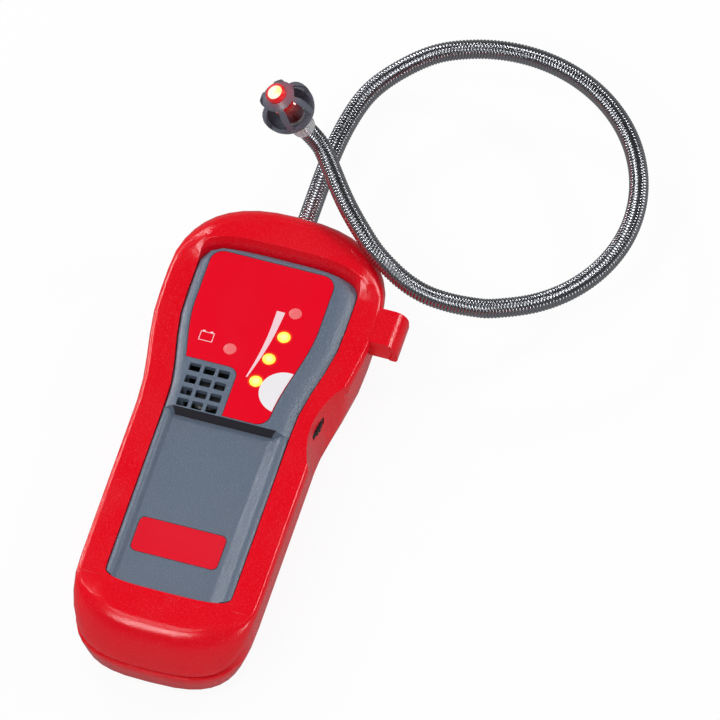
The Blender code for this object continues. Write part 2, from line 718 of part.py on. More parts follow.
def build_front_shell(parts, cutters, paint):
    shell = case_solid("front_shell", 0.0, parts, cutters)
    shell.data.materials.append(paint)
    window = inset(outline(WINDOW_SHAPE), GAP)
    join(shell, plate("window_block", window, 36.5 * mm, PLATEAU_Z + 1.5 * mm, None, cutters))
    cut(shell, trough_cutter(cutters), bezel_cutter(cutters))
    front_shell_inside(shell, cutters)
    low = (-70 * mm, -130 * mm, -10 * mm)
    cut(shell, box("below_parting", low, (70 * mm, 130 * mm, PARTING_Z + GAP / 2), cutters))
    recess = plate("label_recess", label_outline(), PLATEAU_Z - LABEL_RECESS, 50 * mm, None, cutters)
    cut(shell, recess)
    badge_hole = rounded_rectangle(BADGE_SIZE[0] + 2 * GAP, BADGE_SIZE[1] + 2 * GAP, BADGE_CORNER, BADGE_CENTRE)
    cut(shell, plate("badge_recess", badge_hole, PANEL_Z - 0.6 * mm, 45 * mm, None, cutters))
    for row, y in enumerate(SLOT_ROWS):
        for column, x in enumerate(SLOT_COLUMNS):
            hole = rounded_rectangle(*SLOT_SIZE, 0.4 * mm, (x, y), 1)
            cut(shell, plate(f"slot_{row}_{column}", hole, 36 * mm, 46 * mm, None, cutters))
    for index, place in enumerate((*LEVEL_LEDS, BATTERY_LED)):
        cut(shell, led_bore(f"led_hole_{index}", place, cutters))
    cut(shell, wheel_slot("shell_wheel_slot", cutters))
    neck_hole = cylinder("front_neck_hole", NECK_RADIUS + GAP, 30 * mm, (0, 105 * mm, NECK_Z), cutters)
    neck_hole.rotation_euler = (math.pi / 2, 0, 0)
    cut(shell, neck_hole)


def build_rear_shell(parts, cutters, paint):
    shell = case_solid("rear_shell", 0.0, parts, cutters)
    shell.data.materials.append(paint)
    pad = plate("rear_pad", inset(outline(PAD_SHAPE), GAP), 0.0, 4 * mm, None, cutters)
    join(shell, pad)
    cut(shell, case_solid("rear_inside", -CASE_WALL, cutters, cutters))
    high = (70 * mm, 130 * mm, 60 * mm)
    cut(shell, box("above_parting", (-70 * mm, -130 * mm, PARTING_Z - GAP / 2), high, cutters))
    for index, (x, y) in enumerate(SCREW_POINTS):
        join(shell, boss(f"rear_boss_{index}", x, y, 4.2 * mm, PARTING_Z - 0.4 * mm, cutters))
        cut(shell, screw_bore(f"screw_bore_{index}", x, y, 40 * mm, cutters))
        cut(shell, head_seat(f"screw_seat_{index}", x, y, SCREW_SEAT_Z, cutters))
    centre = (0.0, (DOOR_TOP + DOOR_BOTTOM) / 2)
    height = DOOR_TOP - DOOR_BOTTOM
    frame = rounded_rectangle(DOOR_WIDTH + 2 * GAP, height + 2 * GAP, DOOR_CORNER, centre)
    cut(shell, plate("door_recess", frame, -2 * mm, DOOR_THICK + GAP, None, cutters))
    opening_height = height - 2 * DOOR_LEDGE - DOOR_SCREW_LEDGE
    opening_centre = (0.0, centre[1] + (2 * DOOR_LEDGE - DOOR_SCREW_LEDGE) / 2 - DOOR_LEDGE / 2)
    hole = rounded_rectangle(DOOR_WIDTH - 2 * DOOR_LEDGE, opening_height, 2 * mm, opening_centre)
    cut(shell, plate("door_opening", hole, 0.0, 10 * mm, None, cutters))
    neck_hole = cylinder("rear_neck_hole", NECK_RADIUS + GAP, 30 * mm, (0, 105 * mm, NECK_Z), cutters)
    neck_hole.rotation_euler = (math.pi / 2, 0, 0)
    cut(shell, neck_hole)
    boss_place = (0, DOOR_SCREW_Y, 4.8 * mm)
    join(shell, cylinder("door_boss", DOOR_BOSS_RADIUS, 2.8 * mm, boss_place, cutters, sides=20))
    cut(shell, screw_bore("door_screw_bore", 0, DOOR_SCREW_Y, 14 * mm, cutters))


def build_battery_door(parts, cutters, paint):
    centre = (0.0, (DOOR_TOP + DOOR_BOTTOM) / 2)
    door = plate("battery_door", rounded_rectangle(DOOR_WIDTH, DOOR_TOP - DOOR_BOTTOM, DOOR_CORNER, centre),
                 0.0, DOOR_THICK, paint, parts)
    seat_depth = DOOR_SCREW_FACE + DOOR_SCREW_HEAD + GAP
    cut(door, head_seat("door_screw_seat", 0, DOOR_SCREW_Y, seat_depth, cutters))
    cut(door, screw_bore("door_screw_hole", 0, DOOR_SCREW_Y, 6 * mm, cutters))
    for index in range(3):
        y = DOOR_BOTTOM + (10 + 3 * index) * mm
        groove = rounded_rectangle(24 * mm, 1.2 * mm, 0.5 * mm, (0.0, y), 2)
        cut(door, plate(f"door_grip_{index}", groove, -1 * mm, 0.6 * mm, None, cutters))


def screw(name, place, head_height, length, parts, cutters, paint):
    """Pan-head screw with a cross recess, its head at the rear and its point towards the front."""
    profile = [(0.0, length), (0.8 * mm, length), (SCREW_RADIUS, length - 1 * mm), (SCREW_RADIUS, head_height),
               (SCREW_HEAD, head_height), (SCREW_HEAD, 0.4 * mm), (SCREW_HEAD - 0.5 * mm, 0.0), (0.0, 0.0)]
    made = turned(name, profile, paint, parts, 16)
    made.location = place
    half = 1.6 * mm
    for index, (reach, width) in enumerate(((half, 0.3 * mm), (0.3 * mm, half))):
        low = (place[0] - reach, place[1] - width, place[2] - 1 * mm)
        high = (place[0] + reach, place[1] + width, place[2] + 0.7 * mm)
        cut(made, box(f"{name}_recess_{index}", low, high, cutters))


# Front pieces

def build_label(parts, cutters, paint):
    bottom = PLATEAU_Z - LABEL_RECESS + GAP
    outer = inset(np.array(label_outline()), -GAP)  # this outline runs the other way round
    label = plate("front_label", outer, bottom, bottom + LABEL_THICK, paint, parts)
    for index, place in enumerate((*LEVEL_LEDS, BATTERY_LED)):
        cut(label, led_bore(f"label_hole_{index}", place, cutters))


def build_badge(parts, paint):
    bottom = PANEL_Z - 0.6 * mm + GAP
    plate("badge", rounded_rectangle(*BADGE_SIZE, BADGE_CORNER, BADGE_CENTRE), bottom, bottom + BADGE_THICK,
          paint, parts)


def build_led(name, place, parts, paint):
    """Round 5 mm lamp: flange at the foot, low lens flush with the label."""
    foot = BOARD_Z + BOARD_THICK + GAP
    top = PLATEAU_Z + 0.25 * mm
    profile = [(0.0, top), (LED_RADIUS * 0.6, top - 0.12 * mm), (LED_RADIUS * 0.92, top - 0.4 * mm),
               (LED_RADIUS, top - 0.9 * mm), (LED_RADIUS, foot), (0.0, foot)]
    profile = [(radius, height - foot) for radius, height in profile]
    made = turned(name, profile, paint, parts, 20)
    made.location = (*place, foot)


# Inside the case

def build_cells(parts, paint):
    radius = CELL_RADIUS
    half = CELL_LENGTH / 2
    profile = [(0.0, half), (3 * mm, half), (3.2 * mm, half - 1.6 * mm), (radius - 1 * mm, half - 1.9 * mm),
               (radius, half - 2.8 * mm), (radius, 0.8 * mm - half), (radius - 0.8 * mm, -half), (0.0, -half)]
    for index, x in enumerate((-CELL_X, CELL_X)):
        cell = turned(f"battery_{index + 1}", profile, paint, parts, 24)
        cell.location = (x, CELL_PAIR_Y, CELL_Z)
        cell.rotation_euler = (math.pi / 2 if index else -math.pi / 2, 0, 0)
    cross = turned("battery_3", profile, paint, parts, 24)
    cross.location = (0, CELL_CROSS_Y, CELL_Z)
    cross.rotation_euler = (0, math.pi / 2, 0)


def build_contacts(parts, paint):
    """Sprung bridge behind the cell pair."""
    y = CELL_PAIR_Y - CELL_LENGTH / 2 - 1.1 * mm
    strip = plate("battery_contact", rounded_rectangle(44 * mm, 12 * mm, 3 * mm), -0.3 * mm, 0.3 * mm, paint, parts)
    strip.location = (0, y, CELL_Z)
    strip.rotation_euler = (math.pi / 2, 0, 0)


def build_board(parts, cutters, paint):
    centre_y = (BOARD_TOP + BOARD_BOTTOM) / 2
    board = plate("circuit_board", rounded_rectangle(2 * BOARD_HALF, BOARD_TOP - BOARD_BOTTOM, 1.5 * mm,
                                                     (0.0, centre_y), 2),
                  BOARD_Z, BOARD_Z + BOARD_THICK, paint, parts)
    x, y, z = wheel_centre()
    join(board, box("board_tab", (0, y - 7 * mm, BOARD_Z), (x + 2 * mm, y + 7 * mm, BOARD_Z + BOARD_THICK), cutters))


def build_control(parts, paint, cutters):
    """Potentiometer with switch; its shaft passes through the thumbwheel up to the board."""
    x, y, z = wheel_centre()
    top = z - WHEEL_THICK / 2 - GAP
    body = box("sensitivity_control", (x - CONTROL_INWARD, y - CONTROL_HALF, top - CONTROL_HEIGHT),
               (x + CONTROL_OUTWARD, y + CONTROL_HALF, top), parts, paint)
    foot = top - CONTROL_HEIGHT / 2
    shaft_top = BOARD_Z - GAP
    join(body, cylinder("control_shaft", WHEEL_BORE - GAP, shaft_top - foot, (x, y, (foot + shaft_top) / 2),
                        cutters, sides=20))


def build_speaker(parts, paint):
    radius = SPEAKER_RADIUS
    profile = [(0.0, 3.2 * mm), (radius - 1 * mm, 3.2 * mm), (radius, 2.6 * mm), (radius, 1.0 * mm),
               (5 * mm, 0.6 * mm), (5 * mm, 0.0), (0.0, 0.0)]
    speaker = turned("speaker", profile, paint, parts, 28)
    speaker.location = (*SPEAKER_CENTRE, BOARD_Z + BOARD_THICK + GAP)


def build_neck_nut(parts, cutters, paint):
    nut = cylinder("gooseneck_nut", 8 * mm, 4 * mm, (0, 100.5 * mm, NECK_Z), parts, paint, 6)
    nut.rotation_euler = (math.pi / 2, 0, 0)
    bore = cylinder("nut_bore", NECK_RADIUS + GAP, 10 * mm, (0, 100.5 * mm, NECK_Z), cutters, sides=24)
    bore.rotation_euler = (math.pi / 2, 0, 0)
    cut(nut, bore)


# Thumbwheel

def build_thumbwheel(parts, cutters, paint, pivot):
    points = []
    for tooth in range(WHEEL_TEETH):
        for share, radius in ((0.0, WHEEL_RADIUS - WHEEL_TOOTH), (0.3, WHEEL_RADIUS), (0.7, WHEEL_RADIUS)):
            angle = 2 * math.pi * (tooth + share) / WHEEL_TEETH
            points.append((radius * math.cos(angle), radius * math.sin(angle)))
    wheel = plate("thumbwheel", points, -WHEEL_THICK / 2, WHEEL_THICK / 2, paint, parts)
    wheel.location = wheel_centre()
    bore = cylinder("wheel_bore", WHEEL_BORE, 10 * mm, wheel_centre(), cutters, sides=24)
    cut(wheel, bore)
    hang(wheel, pivot)


# Gooseneck

def smooth_path(points, spacing):
    """Even points on the Catmull-Rom curve through a route."""
    points = [Vector(point) for point in points]
    ends = [2 * points[0] - points[1]] + points + [2 * points[-1] - points[-2]]
    dense = []
    for a, b, c, d in zip(ends, ends[1:], ends[2:], ends[3:]):
        for step in range(24):
            t = step / 24
            dense.append(0.5 * (2 * b + (c - a) * t + (2 * a - 5 * b + 4 * c - d) * t ** 2
                                + (3 * b - a - 3 * c + d) * t ** 3))
    dense.append(points[-1])
    lengths = [0.0]
    for before, after in zip(dense, dense[1:]):
        lengths.append(lengths[-1] + (after - before).length)
    count = max(2, round(lengths[-1] / spacing))
    wanted = np.linspace(0, lengths[-1], count + 1)
    columns = [np.interp(wanted, lengths, [point[axis] for point in dense]) for axis in range(3)]
    return [Vector(point) for point in zip(*columns)]


def neck_route():
    """Straight out of the case, once round the loop clockwise, then up to the sensor head."""
    route = [Vector((0, NECK_INNER_END, NECK_Z)), Vector((0, BOOT_TOP, NECK_Z))]
    route += [Vector(point) * mm for point in NECK_OUT]
    turns = 14
    for step in range(turns + 1):
        share = step / turns
        angle = LOOP_FROM + (LOOP_TO - LOOP_FROM) * share
        radius = LOOP_RADIUS * (1 + LOOP_OVAL * math.cos(2 * (angle - LOOP_OVAL_ANGLE)))
        height = LOOP_START_Z + LOOP_RISE * smooth(2 * share) + LOOP_END_RISE * share ** 4
        route.append(Vector((LOOP_CENTRE[0] + radius * math.cos(angle),
                             LOOP_CENTRE[1] + radius * math.sin(angle), height)))
    route += [Vector(point) * mm for point in NECK_RISE]
    route += [BALL_CENTRE + HEAD_AXIS * COLLAR_END, BALL_CENTRE + HEAD_AXIS * NECK_IN_COLLAR]
    return route


def build_gooseneck(parts, paint, pivot):
    points = [point - pivot.location for point in smooth_path(neck_route(), 7 * mm)]
    neck = tube("gooseneck", points, NECK_RADIUS, paint, parts)
    neck.location = pivot.location
    hang(neck, pivot)


# Sensor head

def place_on_head(item, pivot):
    item.location = BALL_CENTRE
    item.rotation_mode = "QUATERNION"
    item.rotation_quaternion = HEAD_TURN
    hang(item, pivot)


def build_collar(parts, paint, pivot):
    profile = [(5.2, -6.6), (5.2, -10.9), (6.4, -11.2), (6.5, -12.0), (5.9, -13.2), (5.4, -15.8), (5.1, -18.5),
               (4.9, -19.0), (4.6, -19.0), (4.6, -12.6), (3.4, -12.6), (3.4, -6.6)]
    collar = turned("head_collar", [(radius * mm, height * mm) for radius, height in profile], paint, parts, 24)
    place_on_head(collar, pivot)


def build_cage(parts, cutters, paint, pivot):
    """Ball-shaped guard with windows between its ribs."""
    inner = BALL_RADIUS - BALL_WALL
    profile = []
    for step in range(13):
        angle = math.radians(22 + 130 * step / 12)
        profile.append((BALL_RADIUS * math.sin(angle), BALL_RADIUS * math.cos(angle)))
    for step in range(13):
        angle = math.radians(147 - 118 * step / 12)
        profile.append((inner * math.sin(angle), inner * math.cos(angle)))
    cage = turned("sensor_guard", profile, paint, parts, 36)
    for index in range(CAGE_WINDOWS):
        angle = 2 * math.pi * (index + 0.5) / CAGE_WINDOWS
        shape = [(x * mm, y * mm) for x, y in CAGE_WINDOW]
        window = plate(f"cage_window_{index}", shape, 4 * mm, 16 * mm, None, cutters)
        outward = Vector((math.cos(angle), math.sin(angle), 0))
        across = Vector((-math.sin(angle), math.cos(angle), 0))
        facing = Matrix((across, (0, 0, 1), outward)).transposed().to_quaternion()
        window.rotation_mode = "QUATERNION"
        window.rotation_quaternion = HEAD_TURN @ facing
        window.location = BALL_CENTRE + HEAD_TURN @ (outward * 10 * mm)
        cut(cage, window)
    place_on_head(cage, pivot)


def build_sensor(parts, paint, pivot):
    profile = [(0.0, 3.4), (4.6, 3.4), (5.2, 2.6), (5.2, -5.6), (3.0, -6.0), (3.0, -12.2), (0.0, -12.2)]
    sensor = turned("gas_sensor", [(radius * mm, height * mm) for radius, height in profile], paint, parts, 24)
    place_on_head(sensor, pivot)


def build_tip(parts, bezel_paint, light_paint, pivot):
    ring_radius = TIP_RING_RADIUS / mm
    lens_radius = TIP_LENS_RADIUS / mm
    top = TIP_Z / mm
    profile = [(lens_radius + 0.3, top - 0.5), (lens_radius + 0.6, top), (ring_radius - 0.5, top),
               (ring_radius, top - 0.6), (ring_radius, top - 2.4), (ring_radius - 0.3, 9.0), (ring_radius - 0.5, 3.7),
               (lens_radius + 0.3, 3.7)]
    bezel = turned("tip_bezel", [(radius * mm, height * mm) for radius, height in profile], bezel_paint, parts, 24)
    place_on_head(bezel, pivot)
    lens = [(0.0, top + 0.5), (1.4, top + 0.35), (2.4, top - 0.1), (lens_radius, top - 0.9), (lens_radius, 4.0),
            (0.0, 4.0)]
    light = turned("tip_light", [(radius * mm, height * mm) for radius, height in lens], light_paint, parts, 20)
    place_on_head(light, pivot)


def add_pivot(name, place, parts):
    made = bpy.data.objects.new(name, None)
    made.empty_display_size = 10 * mm
    made.location = place
    parts.objects.link(made)
    return made


def main():
    clear_scene()
    parts = collection("gas_leak_detector")
    cutters = collection("cutters")
    red = material("boot_elastomer", (0.76, 0.0, 0.02), 0.42)
    grey = material("case_plastic", (0.12, 0.16, 0.22), 0.55)
    label_red = material("label_print", (0.78, 0.0, 0.03), 0.4)
    dark = material("black_plastic", (0.02, 0.02, 0.025), 0.5)
    cage_grey = material("guard_plastic", (0.05, 0.05, 0.06), 0.4)
    chrome = material("bright_steel", (0.8, 0.8, 0.82), 0.15, 1.0)
    zinc = material("zinc_steel", (0.6, 0.6, 0.58), 0.35, 1.0)
    brass = material("nickel_brass", (0.75, 0.7, 0.55), 0.3, 1.0)
    green = material("board_laminate", (0.02, 0.16, 0.06), 0.5)
    wrap = material("cell_wrap", (0.1, 0.12, 0.3), 0.35)
    lit = material("lamp_lit", (1.0, 0.75, 0.1), 0.2)
    unlit = material("lamp_unlit", (0.9, 0.25, 0.25), 0.2)
    clear_red = material("light_guide", (0.7, 0.01, 0.02), 0.15)

    build_boot(parts, cutters, red)
    build_front_shell(parts, cutters, grey)
    build_rear_shell(parts, cutters, grey)
    build_battery_door(parts, cutters, grey)
    build_label(parts, cutters, label_red)
    build_badge(parts, label_red)
    for index, place in enumerate(LEVEL_LEDS):
        build_led(f"level_led_{index + 1}", place, parts, unlit if index == 3 else lit)
    build_led("battery_led", BATTERY_LED, parts, unlit)
    for index, (x, y) in enumerate(SCREW_POINTS):
        place = (x, y, SCREW_SEAT_Z - SCREW_HEAD_HEIGHT - GAP)
        screw(f"case_screw_{index + 1}", place, SCREW_HEAD_HEIGHT, SCREW_LENGTH, parts, cutters, zinc)
    door_place = (0.0, DOOR_SCREW_Y, DOOR_SCREW_FACE)
    screw("battery_door_screw", door_place, DOOR_SCREW_HEAD, DOOR_SCREW_LENGTH, parts, cutters, zinc)
    build_cells(parts, wrap)
    build_contacts(parts, brass)
    build_board(parts, cutters, green)
    build_control(parts, dark, cutters)
    build_speaker(parts, dark)
    build_neck_nut(parts, cutters, zinc)
    wheel_pivot = add_pivot("thumbwheel_pivot", wheel_centre(), parts)
    build_thumbwheel(parts, cutters, dark, wheel_pivot)
    neck_pivot = add_pivot("gooseneck_pivot", (0, NECK_PIVOT_Y, NECK_Z), parts)
    build_gooseneck(parts, chrome, neck_pivot)
    head_pivot = add_pivot("head_pivot", HEAD_PIVOT, parts)
    build_collar(parts, chrome, head_pivot)
    build_cage(parts, cutters, cage_grey, head_pivot)
    build_sensor(parts, zinc, head_pivot)
    build_tip(parts, clear_red, lit, head_pivot)


main()
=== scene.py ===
import json
import math

import bpy
from mathutils import Matrix, Vector


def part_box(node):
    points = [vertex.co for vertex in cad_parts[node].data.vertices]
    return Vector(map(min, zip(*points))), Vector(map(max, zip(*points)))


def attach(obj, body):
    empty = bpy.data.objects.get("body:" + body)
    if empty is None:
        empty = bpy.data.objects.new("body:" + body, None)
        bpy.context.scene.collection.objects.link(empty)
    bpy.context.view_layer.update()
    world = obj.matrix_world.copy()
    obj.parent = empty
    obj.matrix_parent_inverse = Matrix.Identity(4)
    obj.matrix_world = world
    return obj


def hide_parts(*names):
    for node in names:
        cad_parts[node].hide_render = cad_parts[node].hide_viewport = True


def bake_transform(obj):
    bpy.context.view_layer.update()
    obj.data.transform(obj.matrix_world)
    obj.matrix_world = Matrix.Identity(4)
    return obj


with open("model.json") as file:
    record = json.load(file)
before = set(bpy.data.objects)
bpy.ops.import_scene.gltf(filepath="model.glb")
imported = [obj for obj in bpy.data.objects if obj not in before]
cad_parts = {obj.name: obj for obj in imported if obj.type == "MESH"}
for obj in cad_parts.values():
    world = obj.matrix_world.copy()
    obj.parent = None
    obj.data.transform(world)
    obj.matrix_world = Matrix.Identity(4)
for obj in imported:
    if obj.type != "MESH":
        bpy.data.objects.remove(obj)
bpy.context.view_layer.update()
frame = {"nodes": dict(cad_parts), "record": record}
nodes = frame["nodes"]
mm = 0.001


# Camera and light

cameraSettings = {"target": (0.0447, 0.0493, 0.041), "right": (0.958, 0.287, 0.0),
                  "up": (-0.241, 0.804, 0.545),
                  "distance": 13.0,
                  "millimetresPerPixel": 0.42, "pixels": 720, "sensor": 36}


def addCamera(s):
    right = Vector(s["right"]).normalized()
    up = Vector(s["up"]).normalized()
    back = right.cross(up).normalized()
    up = back.cross(right)
    data = bpy.data.cameras.new("camera")
    camera = bpy.data.objects.new("camera", data)
    bpy.context.scene.collection.objects.link(camera)
    turn = Matrix((right, up, back)).transposed().to_4x4()
    camera.matrix_world = Matrix.Translation(Vector(s["target"]) + back * s["distance"]) @ turn
    data.sensor_width = s["sensor"]
    data.lens = s["sensor"] * s["distance"] / (s["millimetresPerPixel"] * mm * s["pixels"])
    data.clip_end = 60
    bpy.context.scene.camera = camera


lightAim = Vector((0.03, 0.05, 0.03))
flagAim = Vector((0.05, 0.08, 0.02))
lightSettings = {
    "overhead": {"place": (-0.17, -0.56, 0.96), "size": 0.42, "watts": 4.6},
    "leftBack": {"place": (-0.72, 0.72, 0.78), "size": 0.24, "watts": 3.0},
    "rightBack": {"place": (0.72, 0.72, 0.84), "size": 0.24, "watts": 3.3},
    "left": {"place": (-1.05, 0.40, 0.20), "size": 0.20, "watts": 2.6},
    "right": {"place": (1.10, -0.10, 0.18), "size": 0.34, "watts": 1.8},
    "top": {"place": (-0.17, 0.02, 1.12), "size": 0.16, "watts": 0.9},
}
flagSettings = {
    "flagMirror": {"place": (-0.15, 0.62, 1.00), "size": (0.45, 0.45)},  # what the flat faces reflect
    "flagRight": {"place": (0.95, 0.10, 0.50), "size": (0.5, 0.5)},
}


def addLights(settings):
    for name, s in settings.items():
        data = bpy.data.lights.new(name, "AREA")
        data.shape = "DISK"
        data.size = s["size"]
        data.energy = s["watts"]
        lamp = bpy.data.objects.new(name, data)
        bpy.context.scene.collection.objects.link(lamp)
        lamp.location = s["place"]
        aim = lightAim - lamp.location
        lamp.rotation_euler = aim.to_track_quat("-Z", "Y").to_euler()


def newNodes(owner):
    owner.use_nodes = True
    tree = owner.node_tree
    tree.nodes.clear()
    return tree


def addWorld(s):  # white to the camera, grey as light, dim in reflections
    world = bpy.data.worlds.new("studio")
    bpy.context.scene.world = world
    tree = newNodes(world)
    path = tree.nodes.new("ShaderNodeLightPath")
    out = tree.nodes.new("ShaderNodeOutputWorld")
    direction = tree.nodes.new("ShaderNodeTexCoord")
    split = tree.nodes.new("ShaderNodeSeparateXYZ")
    rise = tree.nodes.new("ShaderNodeMapRange")
    for socketName, value in zip(("From Min", "From Max", "To Min", "To Max"), s["horizon"]):
        rise.inputs[socketName].default_value = value
    tree.links.new(direction.outputs["Generated"], split.inputs["Vector"])
    tree.links.new(split.outputs["Z"], rise.inputs["Value"])
    skies = {}
    for name in ("light", "reflected", "backdrop"):
        skies[name] = tree.nodes.new("ShaderNodeBackground")
        skies[name].inputs["Color"].default_value = (1, 1, 1, 1)
    skies["light"].inputs["Strength"].default_value = s["light"]
    tree.links.new(rise.outputs["Result"], skies["reflected"].inputs["Strength"])
    glossy = tree.nodes.new("ShaderNodeMixShader")
    camera = tree.nodes.new("ShaderNodeMixShader")
    tree.links.new(path.outputs["Is Glossy Ray"], glossy.inputs["Fac"])
    tree.links.new(skies["light"].outputs["Background"], glossy.inputs[1])
    tree.links.new(skies["reflected"].outputs["Background"], glossy.inputs[2])
    tree.links.new(path.outputs["Is Camera Ray"], camera.inputs["Fac"])
    tree.links.new(glossy.outputs["Shader"], camera.inputs[1])
    tree.links.new(skies["backdrop"].outputs["Background"], camera.inputs[2])
    tree.links.new(camera.outputs["Shader"], out.inputs["Surface"])


def addFloor(s):
    bpy.ops.object.select_all(action="DESELECT")
    bpy.ops.mesh.primitive_plane_add(size=s["size"], location=(0, 0, s["height"]))
    floor = bpy.context.object
    floor.name = "floor"
    bpy.ops.object.transform_apply(location=True, rotation=True, scale=True)
    paint = bpy.data.materials.new("floorPaper")
    tree = newNodes(paint)
    path = tree.nodes.new("ShaderNodeLightPath")
    diffuse = tree.nodes.new("ShaderNodeBsdfDiffuse")
    diffuse.inputs["Color"].default_value = (0.86, 0.86, 0.87, 1)
    shown = diffuse.outputs["BSDF"]
    for ray, share, strength in (("Is Glossy Ray", 1.0, s["mirrored"]), ("Is Camera Ray", s["glow"], 1.0)):
        glow = tree.nodes.new("ShaderNodeEmission")
        glow.inputs["Color"].default_value = (1, 1, 1, 1)
        glow.inputs["Strength"].default_value = strength
        amount = tree.nodes.new("ShaderNodeMath")
        amount.operation = "MULTIPLY"
        amount.inputs[1].default_value = share
        mix = tree.nodes.new("ShaderNodeMixShader")
        tree.links.new(path.outputs[ray], amount.inputs[0])
        tree.links.new(amount.outputs[0], mix.inputs["Fac"])
        tree.links.new(shown, mix.inputs[1])
        tree.links.new(glow.outputs["Emission"], mix.inputs[2])
        shown = mix.outputs["Shader"]
    out = tree.nodes.new("ShaderNodeOutputMaterial")
    tree.links.new(shown, out.inputs["Surface"])
    floor.data.materials.append(paint)


def addFlags(settings):
    paint = bpy.data.materials.new("flagCloth")
    tree = newNodes(paint)
    cloth = tree.nodes.new("ShaderNodeBsdfDiffuse")
    cloth.inputs["Color"].default_value = (0.02, 0.02, 0.02, 1)
    out = tree.nodes.new("ShaderNodeOutputMaterial")
    tree.links.new(cloth.outputs["BSDF"], out.inputs["Surface"])
    for name, s in settings.items():
        bpy.ops.object.select_all(action="DESELECT")
        bpy.ops.mesh.primitive_plane_add(size=1, location=s["place"])
        flag = bpy.context.object
        flag.name = name
        flag.scale = (*s["size"], 1)
        aim = flagAim - flag.location
        flag.rotation_euler = aim.to_track_quat("Z", "Y").to_euler()
        bpy.ops.object.transform_apply(location=True, rotation=True, scale=True)
        flag.data.materials.append(paint)
        flag.visible_camera = False
        flag.visible_shadow = False
        flag.visible_diffuse = False


bpy.context.scene.view_settings.view_transform = "Standard"
addCamera(cameraSettings)
addLights(lightSettings)
addFlags(flagSettings)
addWorld({"light": 0.40, "horizon": (0.10, 0.36, 0.14, 0.03)})
addFloor({"size": 6.0, "height": -0.0004, "glow": 0.93, "mirrored": 0.24})
print("camera, lights and floor are in place")


# Shared effects

def socket(group, name, kind, direction, value=None):
    made = group.interface.new_socket(name=name, in_out=direction, socket_type=kind)
    if value is not None:
        made.default_value = value
    return made


def grainGroup():
    group = bpy.data.node_groups.new("mouldedGrain", "ShaderNodeTree")
    socket(group, "Vector", "NodeSocketVector", "INPUT")
    socket(group, "Scale", "NodeSocketFloat", "INPUT", 1500.0)
    socket(group, "Height", "NodeSocketFloat", "OUTPUT")
    socket(group, "Sparkle", "NodeSocketFloat", "OUTPUT")
    start = group.nodes.new("NodeGroupInput")
    end = group.nodes.new("NodeGroupOutput")
    noise = group.nodes.new("ShaderNodeTexNoise")
    noise.inputs["Detail"].default_value = 3
    cells = group.nodes.new("ShaderNodeTexVoronoi")
    add = group.nodes.new("ShaderNodeMath")
    add.operation = "ADD"
    ramp = group.nodes.new("ShaderNodeMapRange")
    ramp.inputs["From Min"].default_value = 0.55
    ramp.inputs["From Max"].default_value = 0.75
    for texture in (noise, cells):
        group.links.new(start.outputs["Vector"], texture.inputs["Vector"])
        group.links.new(start.outputs["Scale"], texture.inputs["Scale"])
    group.links.new(noise.outputs["Fac"], add.inputs[0])
    group.links.new(cells.outputs["Distance"], add.inputs[1])
    group.links.new(noise.outputs["Fac"], ramp.inputs["Value"])
    group.links.new(add.outputs[0], end.inputs["Height"])
    group.links.new(ramp.outputs["Result"], end.inputs["Sparkle"])
    return group


def handlingGroup():
    group = bpy.data.node_groups.new("handlingMarks", "ShaderNodeTree")
    socket(group, "Vector", "NodeSocketVector", "INPUT")
    socket(group, "Scale", "NodeSocketFloat", "INPUT", 40.0)
    socket(group, "Smudge", "NodeSocketFloat", "OUTPUT")
    socket(group, "Scratch", "NodeSocketFloat", "OUTPUT")
    start = group.nodes.new("NodeGroupInput")
    end = group.nodes.new("NodeGroupOutput")
    broad = group.nodes.new("ShaderNodeTexNoise")
    broad.inputs["Detail"].default_value = 6
    broad.inputs["Distortion"].default_value = 0.6
    smudge = group.nodes.new("ShaderNodeMapRange")
    smudge.inputs["From Min"].default_value = 0.42
    smudge.inputs["From Max"].default_value = 0.68
    stretch = group.nodes.new("ShaderNodeMapping")
    stretch.inputs["Scale"].default_value = (9.0, 0.8, 3.0)
    stretch.inputs["Rotation"].default_value = (0.2, 0.1, 0.6)
    streaks = group.nodes.new("ShaderNodeTexNoise")
    streaks.inputs["Detail"].default_value = 4
    scratch = group.nodes.new("ShaderNodeMapRange")
    scratch.inputs["From Min"].default_value = 0.66
    scratch.inputs["From Max"].default_value = 0.74
    group.links.new(start.outputs["Vector"], broad.inputs["Vector"])
    group.links.new(start.outputs["Scale"], broad.inputs["Scale"])
    group.links.new(broad.outputs["Fac"], smudge.inputs["Value"])
    group.links.new(start.outputs["Vector"], stretch.inputs["Vector"])
    group.links.new(stretch.outputs["Vector"], streaks.inputs["Vector"])
    group.links.new(start.outputs["Scale"], streaks.inputs["Scale"])
    group.links.new(streaks.outputs["Fac"], scratch.inputs["Value"])
    group.links.new(smudge.outputs["Result"], end.inputs["Smudge"])
    group.links.new(scratch.outputs["Result"], end.inputs["Scratch"])
    return group


